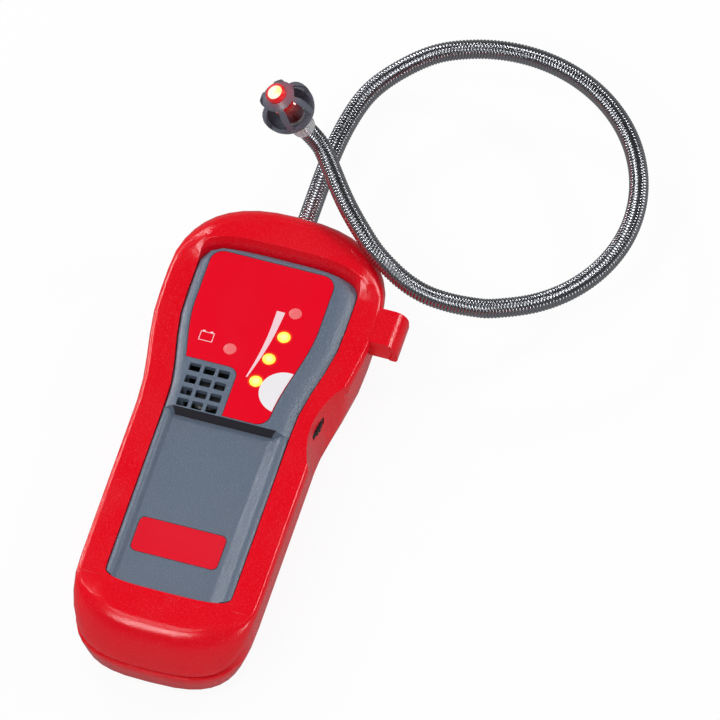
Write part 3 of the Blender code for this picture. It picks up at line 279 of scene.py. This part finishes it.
def glowGroup(name, nodes):  # full at the middle of each lamp's top, none at the reach
    group = bpy.data.node_groups.new(name, "ShaderNodeTree")
    socket(group, "Vector", "NodeSocketVector", "INPUT")
    socket(group, "Reach", "NodeSocketFloat", "INPUT")
    socket(group, "Core", "NodeSocketFloat", "INPUT")
    socket(group, "Glow", "NodeSocketFloat", "OUTPUT")
    start = group.nodes.new("NodeGroupInput")
    end = group.nodes.new("NodeGroupOutput")
    total = None
    for node in nodes:
        low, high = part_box(node)
        away = group.nodes.new("ShaderNodeVectorMath")
        away.operation = "DISTANCE"
        away.inputs[1].default_value = ((low[0] + high[0]) / 2, (low[1] + high[1]) / 2, high[2])
        fade = group.nodes.new("ShaderNodeMapRange")
        fade.interpolation_type = "SMOOTHSTEP"
        group.links.new(start.outputs["Vector"], away.inputs[0])
        group.links.new(away.outputs["Value"], fade.inputs["Value"])
        group.links.new(start.outputs["Reach"], fade.inputs["From Min"])
        group.links.new(start.outputs["Core"], fade.inputs["From Max"])
        if total is None:
            total = fade.outputs["Result"]
        else:
            add = group.nodes.new("ShaderNodeMath")
            add.operation = "ADD"
            group.links.new(total, add.inputs[0])
            group.links.new(fade.outputs["Result"], add.inputs[1])
            total = add.outputs[0]
    group.links.new(total, end.inputs["Glow"])
    return group


litLamps = ("level_led_1", "level_led_2", "level_led_3")
grain = grainGroup()
handling = handlingGroup()
glows = {"lamps": glowGroup("lampGlow", litLamps), "tip": glowGroup("tipGlow", ("tip_light",))}


bumpDepth = 0.0002


def finish(name, s):
    paint = bpy.data.materials.new(name)
    tree = newNodes(paint)
    make = tree.nodes.new
    place = make("ShaderNodeTexCoord")
    shader = make("ShaderNodeBsdfPrincipled")
    out = make("ShaderNodeOutputMaterial")
    tree.links.new(shader.outputs["BSDF"], out.inputs["Surface"])
    shader.inputs["Metallic"].default_value = s.get("metallic", 0.0)
    shader.inputs["Specular IOR Level"].default_value = s.get("specular", 0.5)
    shader.inputs["Coat Weight"].default_value = s.get("coat", 0.0)
    shader.inputs["Coat Roughness"].default_value = 0.1

    grainNode = make("ShaderNodeGroup")
    grainNode.node_tree = grain
    grainNode.inputs["Scale"].default_value = s.get("grainScale", 1500.0)
    marks = make("ShaderNodeGroup")
    marks.node_tree = handling
    marks.inputs["Scale"].default_value = s.get("markScale", 35.0)
    tree.links.new(place.outputs["Object"], grainNode.inputs["Vector"])
    tree.links.new(place.outputs["Object"], marks.inputs["Vector"])

    tint = make("ShaderNodeMix")
    tint.data_type = "RGBA"
    tint.inputs["A"].default_value = (*s["colour"], 1)
    tint.inputs["B"].default_value = (*s.get("worn", tuple(c * 0.8 + 0.01 for c in s["colour"])), 1)
    strength = make("ShaderNodeMath")
    strength.operation = "MULTIPLY"
    strength.inputs[1].default_value = s.get("wear", 0.25)
    tree.links.new(marks.outputs["Smudge"], strength.inputs[0])
    tree.links.new(strength.outputs[0], tint.inputs["Factor"])
    fleck = make("ShaderNodeMix")
    fleck.data_type = "RGBA"
    lighter = tuple(min(1.0, c * 1.5 + 0.02) for c in s["colour"])
    fleck.inputs["B"].default_value = (*s.get("fleck", lighter), 1)
    fleckAmount = make("ShaderNodeMath")
    fleckAmount.operation = "MULTIPLY"
    fleckAmount.inputs[1].default_value = s.get("fleckAmount", 0.12)
    tree.links.new(grainNode.outputs["Sparkle"], fleckAmount.inputs[0])
    tree.links.new(fleckAmount.outputs[0], fleck.inputs["Factor"])
    tree.links.new(tint.outputs["Result"], fleck.inputs["A"])
    tree.links.new(fleck.outputs["Result"], shader.inputs["Base Color"])

    rough = make("ShaderNodeMapRange")
    rough.inputs["To Min"].default_value = s["roughness"][0]
    rough.inputs["To Max"].default_value = s["roughness"][1]
    tree.links.new(marks.outputs["Smudge"], rough.inputs["Value"])
    tree.links.new(rough.outputs["Result"], shader.inputs["Roughness"])

    bump = make("ShaderNodeBump")
    bump.inputs["Strength"].default_value = s.get("bump", 0.1)
    bump.inputs["Distance"].default_value = bumpDepth
    tree.links.new(grainNode.outputs["Height"], bump.inputs["Height"])
    tree.links.new(bump.outputs["Normal"], shader.inputs["Normal"])
    if "glow" in s:  # light of a lamp, fading away from its middle; on the label film, the guard and the sensor metal, which are no lamps, this is painted light
        around = make("ShaderNodeGroup")
        around.node_tree = glows[s["glowFrom"]]
        around.inputs["Reach"].default_value, around.inputs["Core"].default_value = s["glowReach"]
        glow = make("ShaderNodeMix")
        glow.data_type = "RGBA"
        glow.inputs["A"].default_value = (*s["glowEdge"], 1)
        glow.inputs["B"].default_value = (*s["glow"], 1)
        tree.links.new(place.outputs["Object"], around.inputs["Vector"])
        tree.links.new(around.outputs["Glow"], glow.inputs["Factor"])
        tree.links.new(glow.outputs["Result"], shader.inputs["Emission Color"])
        shader.inputs["Emission Strength"].default_value = s["glowStrength"]
    return paint


finishes = {
    "bootRubber": {"colour": (0.76, 0.0, 0.009), "worn": (0.70, 0.0, 0.010), "wear": 0.3,
                   "roughness": (0.18, 0.27), "grainScale": 1700.0, "bump": 0.22, "fleck": (0.84, 0.05, 0.08),
                   "fleckAmount": 0.6, "specular": 0.5},
    "casePlastic": {"colour": (0.112, 0.146, 0.202), "worn": (0.098, 0.126, 0.176), "wear": 0.3,
                    "roughness": (0.28, 0.38), "grainScale": 1900.0, "bump": 0.40,
                    "fleck": (0.36, 0.42, 0.52), "fleckAmount": 0.45, "specular": 0.7},
    "labelFilm": {"colour": (0.77, 0.0, 0.014), "worn": (0.72, 0.0, 0.016), "wear": 0.2,
                  "roughness": (0.30, 0.40), "grainScale": 2400.0, "bump": 0.05, "fleck": (0.80, 0.01, 0.03),
                  "fleckAmount": 0.2, "specular": 0.12,
                  # painted light: an orange pool round the lit lamps, given to the label film as glow
                  "glow": (1.0, 0.36, 0.03), "glowEdge": (0, 0, 0), "glowFrom": "lamps",
                  "glowReach": (0.0040, 0.0020), "glowStrength": 0.3},
    "badgeFilm": {"colour": (0.74, 0.002, 0.018), "worn": (0.68, 0.003, 0.020), "wear": 0.2,
                  "roughness": (0.32, 0.42), "grainScale": 2400.0, "bump": 0.05, "fleckAmount": 0.05,
                  "specular": 0.25},
    "whiteInk": {"colour": (0.82, 0.80, 0.83), "worn": (0.76, 0.73, 0.77), "wear": 0.2,
                 "roughness": (0.4, 0.5)},
    "pinkInk": {"colour": (0.88, 0.62, 0.67), "worn": (0.84, 0.54, 0.60), "wear": 0.2,
                "roughness": (0.4, 0.5)},
    "blackPlastic": {"colour": (0.018, 0.018, 0.021), "wear": 0.4, "roughness": (0.38, 0.55), "bump": 0.15},
    "guardPlastic": {"colour": (0.105, 0.112, 0.145), "wear": 0.4, "roughness": (0.26, 0.40), "bump": 0.1,
                     # painted light: a red glow from the tip lamp on the guard near the tip
                     "glow": (0.40, 0.004, 0.006), "glowEdge": (0, 0, 0), "glowFrom": "tip",
                     "glowReach": (0.0100, 0.0035), "glowStrength": 0.5},
    "brightSteel": {"colour": (0.88, 0.88, 0.90), "worn": (0.80, 0.80, 0.83), "metallic": 0.6, "wear": 0.3,
                    "roughness": (0.22, 0.32), "bump": 0.03},
    "hoseSteel": {"colour": (0.46, 0.47, 0.50), "worn": (0.38, 0.39, 0.42), "metallic": 1.0, "wear": 0.5,
                  "roughness": (0.22, 0.28), "grainScale": 1400.0, "bump": 0.003},
    "zincSteel": {"colour": (0.55, 0.55, 0.53), "metallic": 1.0, "wear": 0.4, "roughness": (0.3, 0.45)},
    "nickelBrass": {"colour": (0.62, 0.55, 0.38), "metallic": 1.0, "wear": 0.4, "roughness": (0.25, 0.4)},
    "boardLaminate": {"colour": (0.006, 0.014, 0.010), "wear": 0.3, "roughness": (0.35, 0.5)},
    "cellWrap": {"colour": (0.05, 0.06, 0.20), "wear": 0.3, "roughness": (0.25, 0.4)},
    "litLens": {"colour": (0.9, 0.55, 0.06), "wear": 0.1, "roughness": (0.15, 0.2), "glow": (1.0, 0.86, 0.40),
                "glowEdge": (1.0, 0.56, 0.03), "glowFrom": "lamps", "glowReach": (0.0026, 0.0004),
                "glowStrength": 1.0, "bump": 0.0},
    "unlitLens": {"colour": (0.86, 0.16, 0.17), "worn": (0.82, 0.12, 0.13), "wear": 0.1,
                  "roughness": (0.25, 0.35), "bump": 0.0, "specular": 0.3},
    "tipLens": {"colour": (0.25, 0.24, 0.15), "wear": 0.3, "markScale": 300.0, "roughness": (0.15, 0.2),
                "glow": (0.80, 0.82, 0.28), "glowEdge": (0.95, 0.93, 0.80), "glowFrom": "tip",
                "glowReach": (0.0032, 0.0006), "glowStrength": 0.9, "bump": 0.0},
    "redGuide": {"colour": (0.55, 0.004, 0.010), "wear": 0.1, "roughness": (0.12, 0.2), "bump": 0.0,
                 "coat": 0.6,
                 "glow": (0.55, 0.02, 0.02), "glowEdge": (0.10, 0.0, 0.0), "glowFrom": "tip",
                 "glowReach": (0.0070, 0.0034), "glowStrength": 0.6},
    # colour of the painted shade on the wall under the display field
    "stepShade": {"colour": (0.030, 0.028, 0.036), "wear": 0.3, "roughness": (0.5, 0.6), "grainScale": 1900.0,
                  "bump": 0.2, "specular": 0.2},
    "sensorMetal": {"colour": (0.78, 0.62, 0.58), "worn": (0.42, 0.06, 0.05), "metallic": 1.0, "wear": 0.8,
                    "markScale": 260.0, "roughness": (0.16, 0.34), "grainScale": 700.0, "bump": 0.8,
                    # painted light: a red glow from the tip lamp on the sensor metal
                    "glow": (0.35, 0.02, 0.02), "glowEdge": (0.03, 0.0, 0.0), "glowFrom": "tip",
                    "glowReach": (0.0180, 0.0080), "glowStrength": 0.6},
}
paints = {name: finish(name, s) for name, s in finishes.items()}
print("finishes are mixed")


# Pieces that keep the form of a solid, with softened edges

def smooth(t):
    t = min(max(t, 0.0), 1.0)
    return t * t * (3 - 2 * t)


solidWeld = 0.00002
windingWeld = 0.00003


def softened(node, name, paint, s):
    bpy.ops.object.select_all(action="DESELECT")
    source = nodes[node]
    piece = bpy.data.objects.new(name, source.data.copy())
    bpy.context.scene.collection.objects.link(piece)
    bpy.context.view_layer.objects.active = piece
    piece.select_set(True)
    bpy.ops.object.mode_set(mode="EDIT")
    bpy.ops.mesh.select_all(action="SELECT")
    bpy.ops.mesh.remove_doubles(threshold=solidWeld)
    bpy.ops.mesh.dissolve_limited(angle_limit=math.radians(s.get("flat", 0.6)))
    bpy.ops.object.mode_set(mode="OBJECT")
    if "spread" in s:
        spreadLens(piece, node, s["spread"])
    if "wall" in s:
        steepen(piece, s["wall"])
    if "cap" in s:
        sharpenGroove(piece, s["cap"])
    if s.get("edge"):
        bevel = piece.modifiers.new("edge", "BEVEL")
        bevel.width = s["edge"] * mm
        bevel.segments = 3
        bevel.limit_method = "ANGLE"
        bevel.angle_limit = math.radians(s.get("angle", 38))
        bevel.harden_normals = False
        bpy.ops.object.modifier_apply(modifier=bevel.name)
    bpy.ops.object.shade_smooth_by_angle(angle=math.radians(s.get("smooth", 40)))
    weigh = piece.modifiers.new("weigh", "WEIGHTED_NORMAL")
    weigh.keep_sharp = True
    bpy.ops.object.modifier_apply(modifier=weigh.name)
    piece.data.materials.clear()
    piece.data.materials.append(paint)
    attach(piece, bodyOf(node))
    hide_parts(node)
    return piece


def spreadLens(piece, node, spread):  # widens the top of a lamp until it fills the hole in the label
    low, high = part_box(node)
    middle = ((low[0] + high[0]) / 2, (low[1] + high[1]) / 2)
    grow, depth = spread
    for vertex in piece.data.vertices:
        if vertex.co.z > high[2] - depth * mm:
            vertex.co.x = middle[0] + (vertex.co.x - middle[0]) * grow
            vertex.co.y = middle[1] + (vertex.co.y - middle[1]) * grow


def bodyOf(node):
    for body, members in frame["record"]["behaviour"]["bodies"].items():
        if node in members:
            return body


# Rows of the boot's side in mm: height on the flank, height at the bottom end, rise and inset to add there
capGroove = {"from": -84.0, "to": -108.0, "middle": -60.0,
             "rows": ((2.0, 2.0, 0.0, -1.0), (6.0, 6.0, 0.6, -1.6), (12.0, 11.0, 3.6, -0.4),
                      (14.0, 12.4, 4.5, -0.1), (20.0, 13.8, 4.9, 0.0), (30.0, 14.6, 5.0, 1.4),
                      (34.8, 22.0, -1.2, 1.0),
                      (35.8, 22.9, -1.4, 0.0), (37.0, 25.0, 0.0, 0.0))}


def sharpenGroove(piece, s):  # narrows the groove at the boot's bottom end and raises the lip under it
    changes = []
    for vertex in piece.data.vertices:
        x, y, z = vertex.co / mm
        share = smooth((s["from"] - y) / (s["from"] - s["to"]))
        outward = Vector((vertex.normal.x, vertex.normal.y, 0))
        outside = outward.length > 0.05 and outward.dot(Vector((x, y - s["middle"], 0))) > 0
        if share <= 0 or not outside:
            continue
        heights = [flank + (end - flank) * share for flank, end, rise, depth in s["rows"]]
        for index in range(len(heights) - 1):
            if heights[index] <= z <= heights[index + 1]:
                part = (z - heights[index]) / max(heights[index + 1] - heights[index], 0.001)
                low, high = s["rows"][index][2:], s["rows"][index + 1][2:]
                rise = (low[0] + (high[0] - low[0]) * part) * share
                depth = (low[1] + (high[1] - low[1]) * part) * share
                move = Vector((0, 0, rise)) - outward.normalized() * depth
                changes.append((vertex, vertex.co + move * mm))
                break
    for vertex, place in changes:
        vertex.co = place


stepWall = {"foot": -1.2, "run": 1.25, "newFoot": 2.3, "newRun": 0.46, "floor": 39.0, "top": 43.0,
            "left": -22.4, "right": 20.2, "turn": 1.6, "slack": 0.1, "near": 0.06}


def steepen(piece, s):  # moves the foot of the wall under the display, so that the wall stands steeper
    for vertex in piece.data.vertices:
        x, y, z = vertex.co / mm
        rise = z - s["floor"]
        within = -s["slack"] < rise < s["top"] - s["floor"] + s["slack"]
        if within and abs(y - s["foot"] - rise * s["run"]) < s["near"]:
            vertex.co.y = (s["newFoot"] + rise * s["newRun"]) * mm


ball = Vector((-14, 138, 80))
headAxis = Vector((-0.355, -0.164, 0.921)).normalized()

softPieces = {
    "boot": ("bootShell", "boot_elastomer", "bootRubber",
             {"edge": 0.45, "angle": 40, "smooth": 36, "flat": 0.05, "cap": capGroove}),
    "front_shell": ("frontShell", "case_plastic", "casePlastic",
                    {"edge": 0.35, "angle": 35, "smooth": 38, "wall": stepWall}),
    "rear_shell": ("rearShell", "case_plastic", "casePlastic", {"edge": 0.3, "smooth": 38}),
    "battery_door": ("batteryDoor", "case_plastic", "casePlastic", {"edge": 0.3}),
    "front_label": ("frontLabel", "label_print", "labelFilm", {"edge": 0.1}),
    "badge": ("badgePlate", "label_print", "badgeFilm", {"edge": 0.12}),
    "sensor_guard": ("sensorGuard", "guard_plastic", "guardPlastic", {"edge": 0.25, "angle": 40}),
    "head_collar": ("headCollar", "bright_steel", "brightSteel", {"edge": 0.12, "angle": 40}),
    "thumbwheel": ("thumbWheel", "black_plastic", "blackPlastic", {"edge": 0.15, "angle": 50}),
    "battery_led": ("batteryLamp", "lamp_unlit", "unlitLens", {"spread": (1.24, 0.5)}),
    "level_led_4": ("levelLamp4", "lamp_unlit", "unlitLens", {"spread": (1.24, 0.5)}),
}
for lamp in litLamps:
    name = lamp.replace("level_led_", "levelLamp")
    softPieces[lamp] = (name, "lamp_lit", "litLens", {"spread": (1.24, 0.5)})
for node, (name, slotName, paint, s) in softPieces.items():
    softened(node, name, paints[paint], s)
print("moulded pieces are softened")

nodePaints = {
    "battery_door_screw": "zincSteel", "case_screw_1": "zincSteel", "case_screw_2": "zincSteel",
    "case_screw_3": "zincSteel", "case_screw_4": "zincSteel", "battery_1": "cellWrap",
    "battery_2": "cellWrap", "battery_3": "cellWrap", "battery_contact": "nickelBrass",
    "circuit_board": "boardLaminate", "sensitivity_control": "blackPlastic", "speaker": "blackPlastic",
    "gooseneck_nut": "zincSteel", "gas_sensor": "sensorMetal", "tip_bezel": "redGuide",
}
for node, paint in nodePaints.items():
    for holder in nodes[node].material_slots:
        holder.material = paints[paint]


# Flexible neck: wound strip with a rib at every turn

tipSettings = {"centre": ball * mm, "axis": headAxis, "grow": 1.18}


def widenTip(piece, s):
    for vertex in piece.data.vertices:
        away = vertex.co - s["centre"]
        along = s["axis"] * away.dot(s["axis"])
        vertex.co = s["centre"] + along + (away - along) * s["grow"]


widenTip(softened("tip_light", "tipLens", paints["tipLens"], {}), tipSettings)

neckSettings = {"radius": 4.2, "pitch": 1.42, "groove": 0.42, "steps": 24, "tail": 97.0, "turns": 14,
                "loopCentre": (66.5, 159.0), "loopRadius": 66.2, "loopOval": 0.026, "ovalAngle": 138.0,
                "loopFrom": 128.0, "loopTo": -70.0, "loopLow": 27.0, "loopRise": 3.2, "endRise": 1.6,
                "collarEnds": (-19, -13), "splits": 12, "smoothing": 24, "ribPoints": 6}
neckStart = ((0, 112, 23), (0, 134, 23), (0.4, 155, 24), (2.6, 174, 25), (8.4, 193, 26))
neckRise = ((84.0, 93.7, 33.0), (75.9, 91.5, 35.0), (70.1, 90.2, 37.0), (61.7, 89.5, 39.5),
            (52.3, 91.1, 42.5), (43.6, 94.7, 45.6), (35.7, 99.3, 48.2), (28.7, 105.6, 50.0),
            (23.6, 110.6, 51.0), (18.3, 116.6, 51.5), (12.6, 123.9, 52.0), (6.4, 132.5, 52.5),
            (0.4, 139.7, 54.4))


def neckRoute(s):
    route = [Vector((0, s["tail"], 23))] + [Vector(point) for point in neckStart]
    for step in range(s["turns"] + 1):
        share = step / s["turns"]
        angle = math.radians(s["loopFrom"] + (s["loopTo"] - s["loopFrom"]) * share)
        radius = s["loopRadius"] * (1 + s["loopOval"] * math.cos(2 * (angle - math.radians(s["ovalAngle"]))))
        height = s["loopLow"] + s["loopRise"] * smooth(2 * share) + s["endRise"] * share ** 4
        route.append(Vector((s["loopCentre"][0] + radius * math.cos(angle),
                             s["loopCentre"][1] + radius * math.sin(angle), height)))
    route += [Vector(point) for point in neckRise]
    route += [ball + headAxis * along for along in s["collarEnds"]]
    ends = [2 * route[0] - route[1]] + route + [2 * route[-1] - route[-2]]
    path = []
    for a, b, c, d in zip(ends, ends[1:], ends[2:], ends[3:]):
        for step in range(s["splits"]):
            t = step / s["splits"]
            path.append(0.5 * (2 * b + (c - a) * t + (2 * a - 5 * b + 4 * c - d) * t ** 2
                               + (3 * b - a - 3 * c + d) * t ** 3))
    path.append(route[-1])
    for turn in range(s["smoothing"]):  # takes the small ripples out between the route's points
        path = path[:1] + [(a + 2 * b + c) / 4 for a, b, c in zip(path, path[1:], path[2:])] + path[-1:]
    return path


def pathLength(path):
    return sum((b - a).length for a, b in zip(path, path[1:]))


def lengthAt(path, place):  # distance along the path to its nearest point to a place
    nearest = min(range(len(path)), key=lambda index: (path[index] - Vector(place)).length)
    return pathLength(path[:nearest + 1])


def neckStretch(name, path, start, end, s):
    curve = bpy.data.curves.new(name + "Path", "CURVE")
    curve.dimensions = "3D"
    curve.twist_mode = "MINIMUM"
    spline = curve.splines.new("POLY")
    spline.points.add(len(path) - 1)
    for knot, point in zip(spline.points, path):
        knot.co = (*(point * mm), 1)
    guide = bpy.data.objects.new(name + "Path", curve)
    bpy.context.scene.collection.objects.link(guide)
    pitch = s["pitch"]
    turns = round((end - start) / pitch)
    radius = s["radius"]
    count = s["ribPoints"]
    rib = [(step / count, radius - s["groove"] * abs(2 * step / count - 1) ** 2) for step in range(count + 1)]
    mesh = bpy.data.meshes.new(name)
    points = [((start + share * pitch) * mm, height * mm, 0) for share, height in rib]
    mesh.from_pydata(points, [(index, index + 1) for index in range(len(points) - 1)], [])
    hose = bpy.data.objects.new(name, mesh)
    bpy.context.scene.collection.objects.link(hose)
    bpy.ops.object.select_all(action="DESELECT")
    hose.select_set(True)
    bpy.context.view_layer.objects.active = hose
    wind = hose.modifiers.new("wind", "SCREW")
    wind.axis = "X"
    wind.steps = s["steps"]
    wind.render_steps = s["steps"]
    wind.screw_offset = pitch * mm
    wind.iterations = turns
    bpy.ops.object.modifier_apply(modifier=wind.name)
    bpy.ops.object.mode_set(mode="EDIT")
    bpy.ops.mesh.select_all(action="SELECT")
    bpy.ops.mesh.remove_doubles(threshold=windingWeld)
    bpy.ops.mesh.fill_holes(sides=0)
    bpy.ops.mesh.select_all(action="SELECT")
    bpy.ops.mesh.normals_make_consistent(inside=False)
    bpy.ops.object.mode_set(mode="OBJECT")
    bend = hose.modifiers.new("bend", "CURVE")
    bend.object = guide
    bpy.ops.object.modifier_apply(modifier=bend.name)
    bpy.ops.object.shade_smooth_by_angle(angle=math.radians(60))
    bpy.data.objects.remove(guide, do_unlink=True)
    hose.data.materials.append(paints["hoseSteel"])
    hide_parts("gooseneck")
    return hose


neckPath = neckRoute(neckSettings)
footEnd = lengthAt(neckPath, (0.2, 145, 23.6))
headFrom = lengthAt(neckPath, (18.3, 116.6, 51.5))
foot = neckStretch("neckFoot", neckPath, 0, footEnd, neckSettings)
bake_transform(foot)
coil = neckStretch("neckLoop", neckPath, footEnd, headFrom, neckSettings)
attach(coil, "gooseneck")
tail = neckStretch("neckHeadEnd", neckPath, headFrom, pathLength(neckPath), neckSettings)
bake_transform(tail)
print("flexible neck is wound")


# Print on the label

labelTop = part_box("front_label")[1][2]
printSettings = {"lift": 0.05, "wedge": ((1.5, 26.2), (2.1, 26.2), (8.2, 61.6), (4.6, 61.6)), "wedgeBow": 1.1,
                 "spot": (19.1, 22.8, 10.4), "battery": (-20.1, 40.8, 6.0, 4.6), "line": 0.3,
                 "poleApart": 1.7, "poleLift": 0.3, "pole": (1.2, 0.6)}


def startPiece():
    bpy.ops.object.select_all(action="DESELECT")


def printPiece(name, paint):  # gives the new flat piece a name and a skin's thickness
    piece = bpy.context.object
    piece.name = name
    bpy.ops.object.transform_apply(location=True, rotation=True, scale=True)
    skin = piece.modifiers.new("skin", "SOLIDIFY")
    skin.thickness = printSettings["lift"] * mm
    skin.offset = 1
    bpy.ops.object.modifier_apply(modifier=skin.name)
    piece.data.materials.append(paints[paint])
    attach(piece, "case")
    return piece


def addWedge(s):
    startPiece()
    bpy.ops.mesh.primitive_plane_add(size=1, location=(0, 0, labelTop))
    bpy.ops.object.mode_set(mode="EDIT")
    bpy.ops.mesh.subdivide(number_cuts=15)
    bpy.ops.object.mode_set(mode="OBJECT")
    lowLeft, lowRight, highRight, highLeft = [Vector(point) for point in s["wedge"]]
    for vertex in bpy.context.object.data.vertices:
        across = vertex.co.x + 0.5
        along = vertex.co.y + 0.5
        left = lowLeft.lerp(highLeft, along)
        right = lowRight.lerp(highRight, along)
        point = left.lerp(right, across)
        bow = s["wedgeBow"] * math.sin(math.pi * along)
        vertex.co = ((point.x + bow) * mm, point.y * mm, 0)
    printPiece("wedgePrint", "pinkInk")


def addSpot(s):  # disc whose right side stops at the label's curved edge
    x, y, radius = s["spot"]
    startPiece()
    bpy.ops.mesh.primitive_circle_add(vertices=96, radius=radius * mm, fill_type="NGON",
                                      location=(x * mm, y * mm, labelTop))
    bpy.ops.object.transform_apply(location=True, rotation=True, scale=True)
    for vertex in bpy.context.object.data.vertices:
        vertex.co.x = min(vertex.co.x, labelRight(vertex.co.y / mm) * mm)
    printPiece("spotPrint", "whiteInk")


# Right edge of the label, as the solid has it: x at the waist, how far it widens, where and over what length
labelEdge = {"waist": 16.9, "widening": 7.1, "from": 9, "length": 48}


def labelRight(y):
    return labelEdge["waist"] + labelEdge["widening"] * smooth((y - labelEdge["from"]) / labelEdge["length"])


def addBattery(s):
    x, y, width, height = s["battery"]
    startPiece()
    bpy.ops.mesh.primitive_plane_add(size=1, location=(x * mm, y * mm, labelTop))
    bpy.context.object.scale = (width * mm, height * mm, 1)
    bpy.ops.object.transform_apply(location=False, rotation=False, scale=True)
    bpy.ops.object.mode_set(mode="EDIT")
    bpy.ops.mesh.inset(thickness=s["line"] * mm, depth=0)
    bpy.ops.mesh.delete(type="FACE")
    bpy.ops.object.mode_set(mode="OBJECT")
    frameLine = bpy.context.object
    bpy.ops.object.transform_apply(location=True, rotation=True, scale=True)
    marks = [frameLine]
    for side in (-1, 1):
        centre = ((x + side * s["poleApart"]) * mm, (y + height / 2 + s["poleLift"]) * mm, labelTop)
        bpy.ops.mesh.primitive_plane_add(size=1, location=centre)
        bpy.context.object.scale = (s["pole"][0] * mm, s["pole"][1] * mm, 1)
        bpy.ops.object.transform_apply(location=True, rotation=True, scale=True)
        marks.append(bpy.context.object)
    bpy.ops.object.select_all(action="DESELECT")
    for mark in marks:
        mark.select_set(True)
    bpy.context.view_layer.objects.active = frameLine
    bpy.ops.object.join()
    printPiece("batteryPrint", "pinkInk")


bootParts = {
    "clipLip": {"low": (46.0, 60.9, 29.7), "high": (55.4, 76.9, 31.8), "round": 0.8},
    "clipWeb": {"low": (45.4, 60.0, 29.4), "high": (55.6, 61.8, 39.6), "round": 0.5},
    "capSeamLeft": {"low": (-38.0, -84.3, 40.6), "high": (-27.8, -83.8, 41.3), "round": 0.12},
    "capSeamRight": {"low": (22.8, -86.3, 40.6), "high": (37.0, -85.8, 41.3), "round": 0.12},
}


def addBootPart(name, s):
    startPiece()
    low, high = Vector(s["low"]), Vector(s["high"])
    bpy.ops.mesh.primitive_cube_add(size=1, location=(low + high) / 2 * mm)
    block = bpy.context.object
    block.name = name
    block.scale = (high - low) * mm
    bpy.ops.object.transform_apply(location=True, rotation=True, scale=True)
    soft = block.modifiers.new("soft", "BEVEL")
    soft.width = s["round"] * mm
    soft.segments = 4
    bpy.ops.object.modifier_apply(modifier=soft.name)
    bpy.ops.object.shade_smooth_by_angle(angle=math.radians(40))
    block.data.materials.append(paints["bootRubber"])
    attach(block, "case")


def addStepWall(s):  # painted shade: a dark strip on the wall under the display field
    startPiece()
    bpy.ops.mesh.primitive_plane_add(size=1, location=(0, 0, 0))
    bpy.ops.object.mode_set(mode="EDIT")
    bpy.ops.mesh.subdivide(number_cuts=7)
    bpy.ops.object.mode_set(mode="OBJECT")
    for vertex in bpy.context.object.data.vertices:
        across = vertex.co.x + 0.5
        rise = (vertex.co.y + 0.5) * (s["top"] - s["floor"])
        lean = s["turn"] * (rise / (s["top"] - s["floor"])) ** 2
        left = s["left"] - lean
        right = s["right"] + lean
        vertex.co = ((left + (right - left) * across) * mm,
                     (s["newFoot"] + rise * s["newRun"] - s["near"]) * mm, (s["floor"] + rise) * mm)
    piece = printPiece("stepShadow", "stepShade")


for name, block in bootParts.items():
    addBootPart(name, block)
addStepWall(stepWall)
addWedge(printSettings)
addSpot(printSettings)
addBattery(printSettings)
print("label is printed")
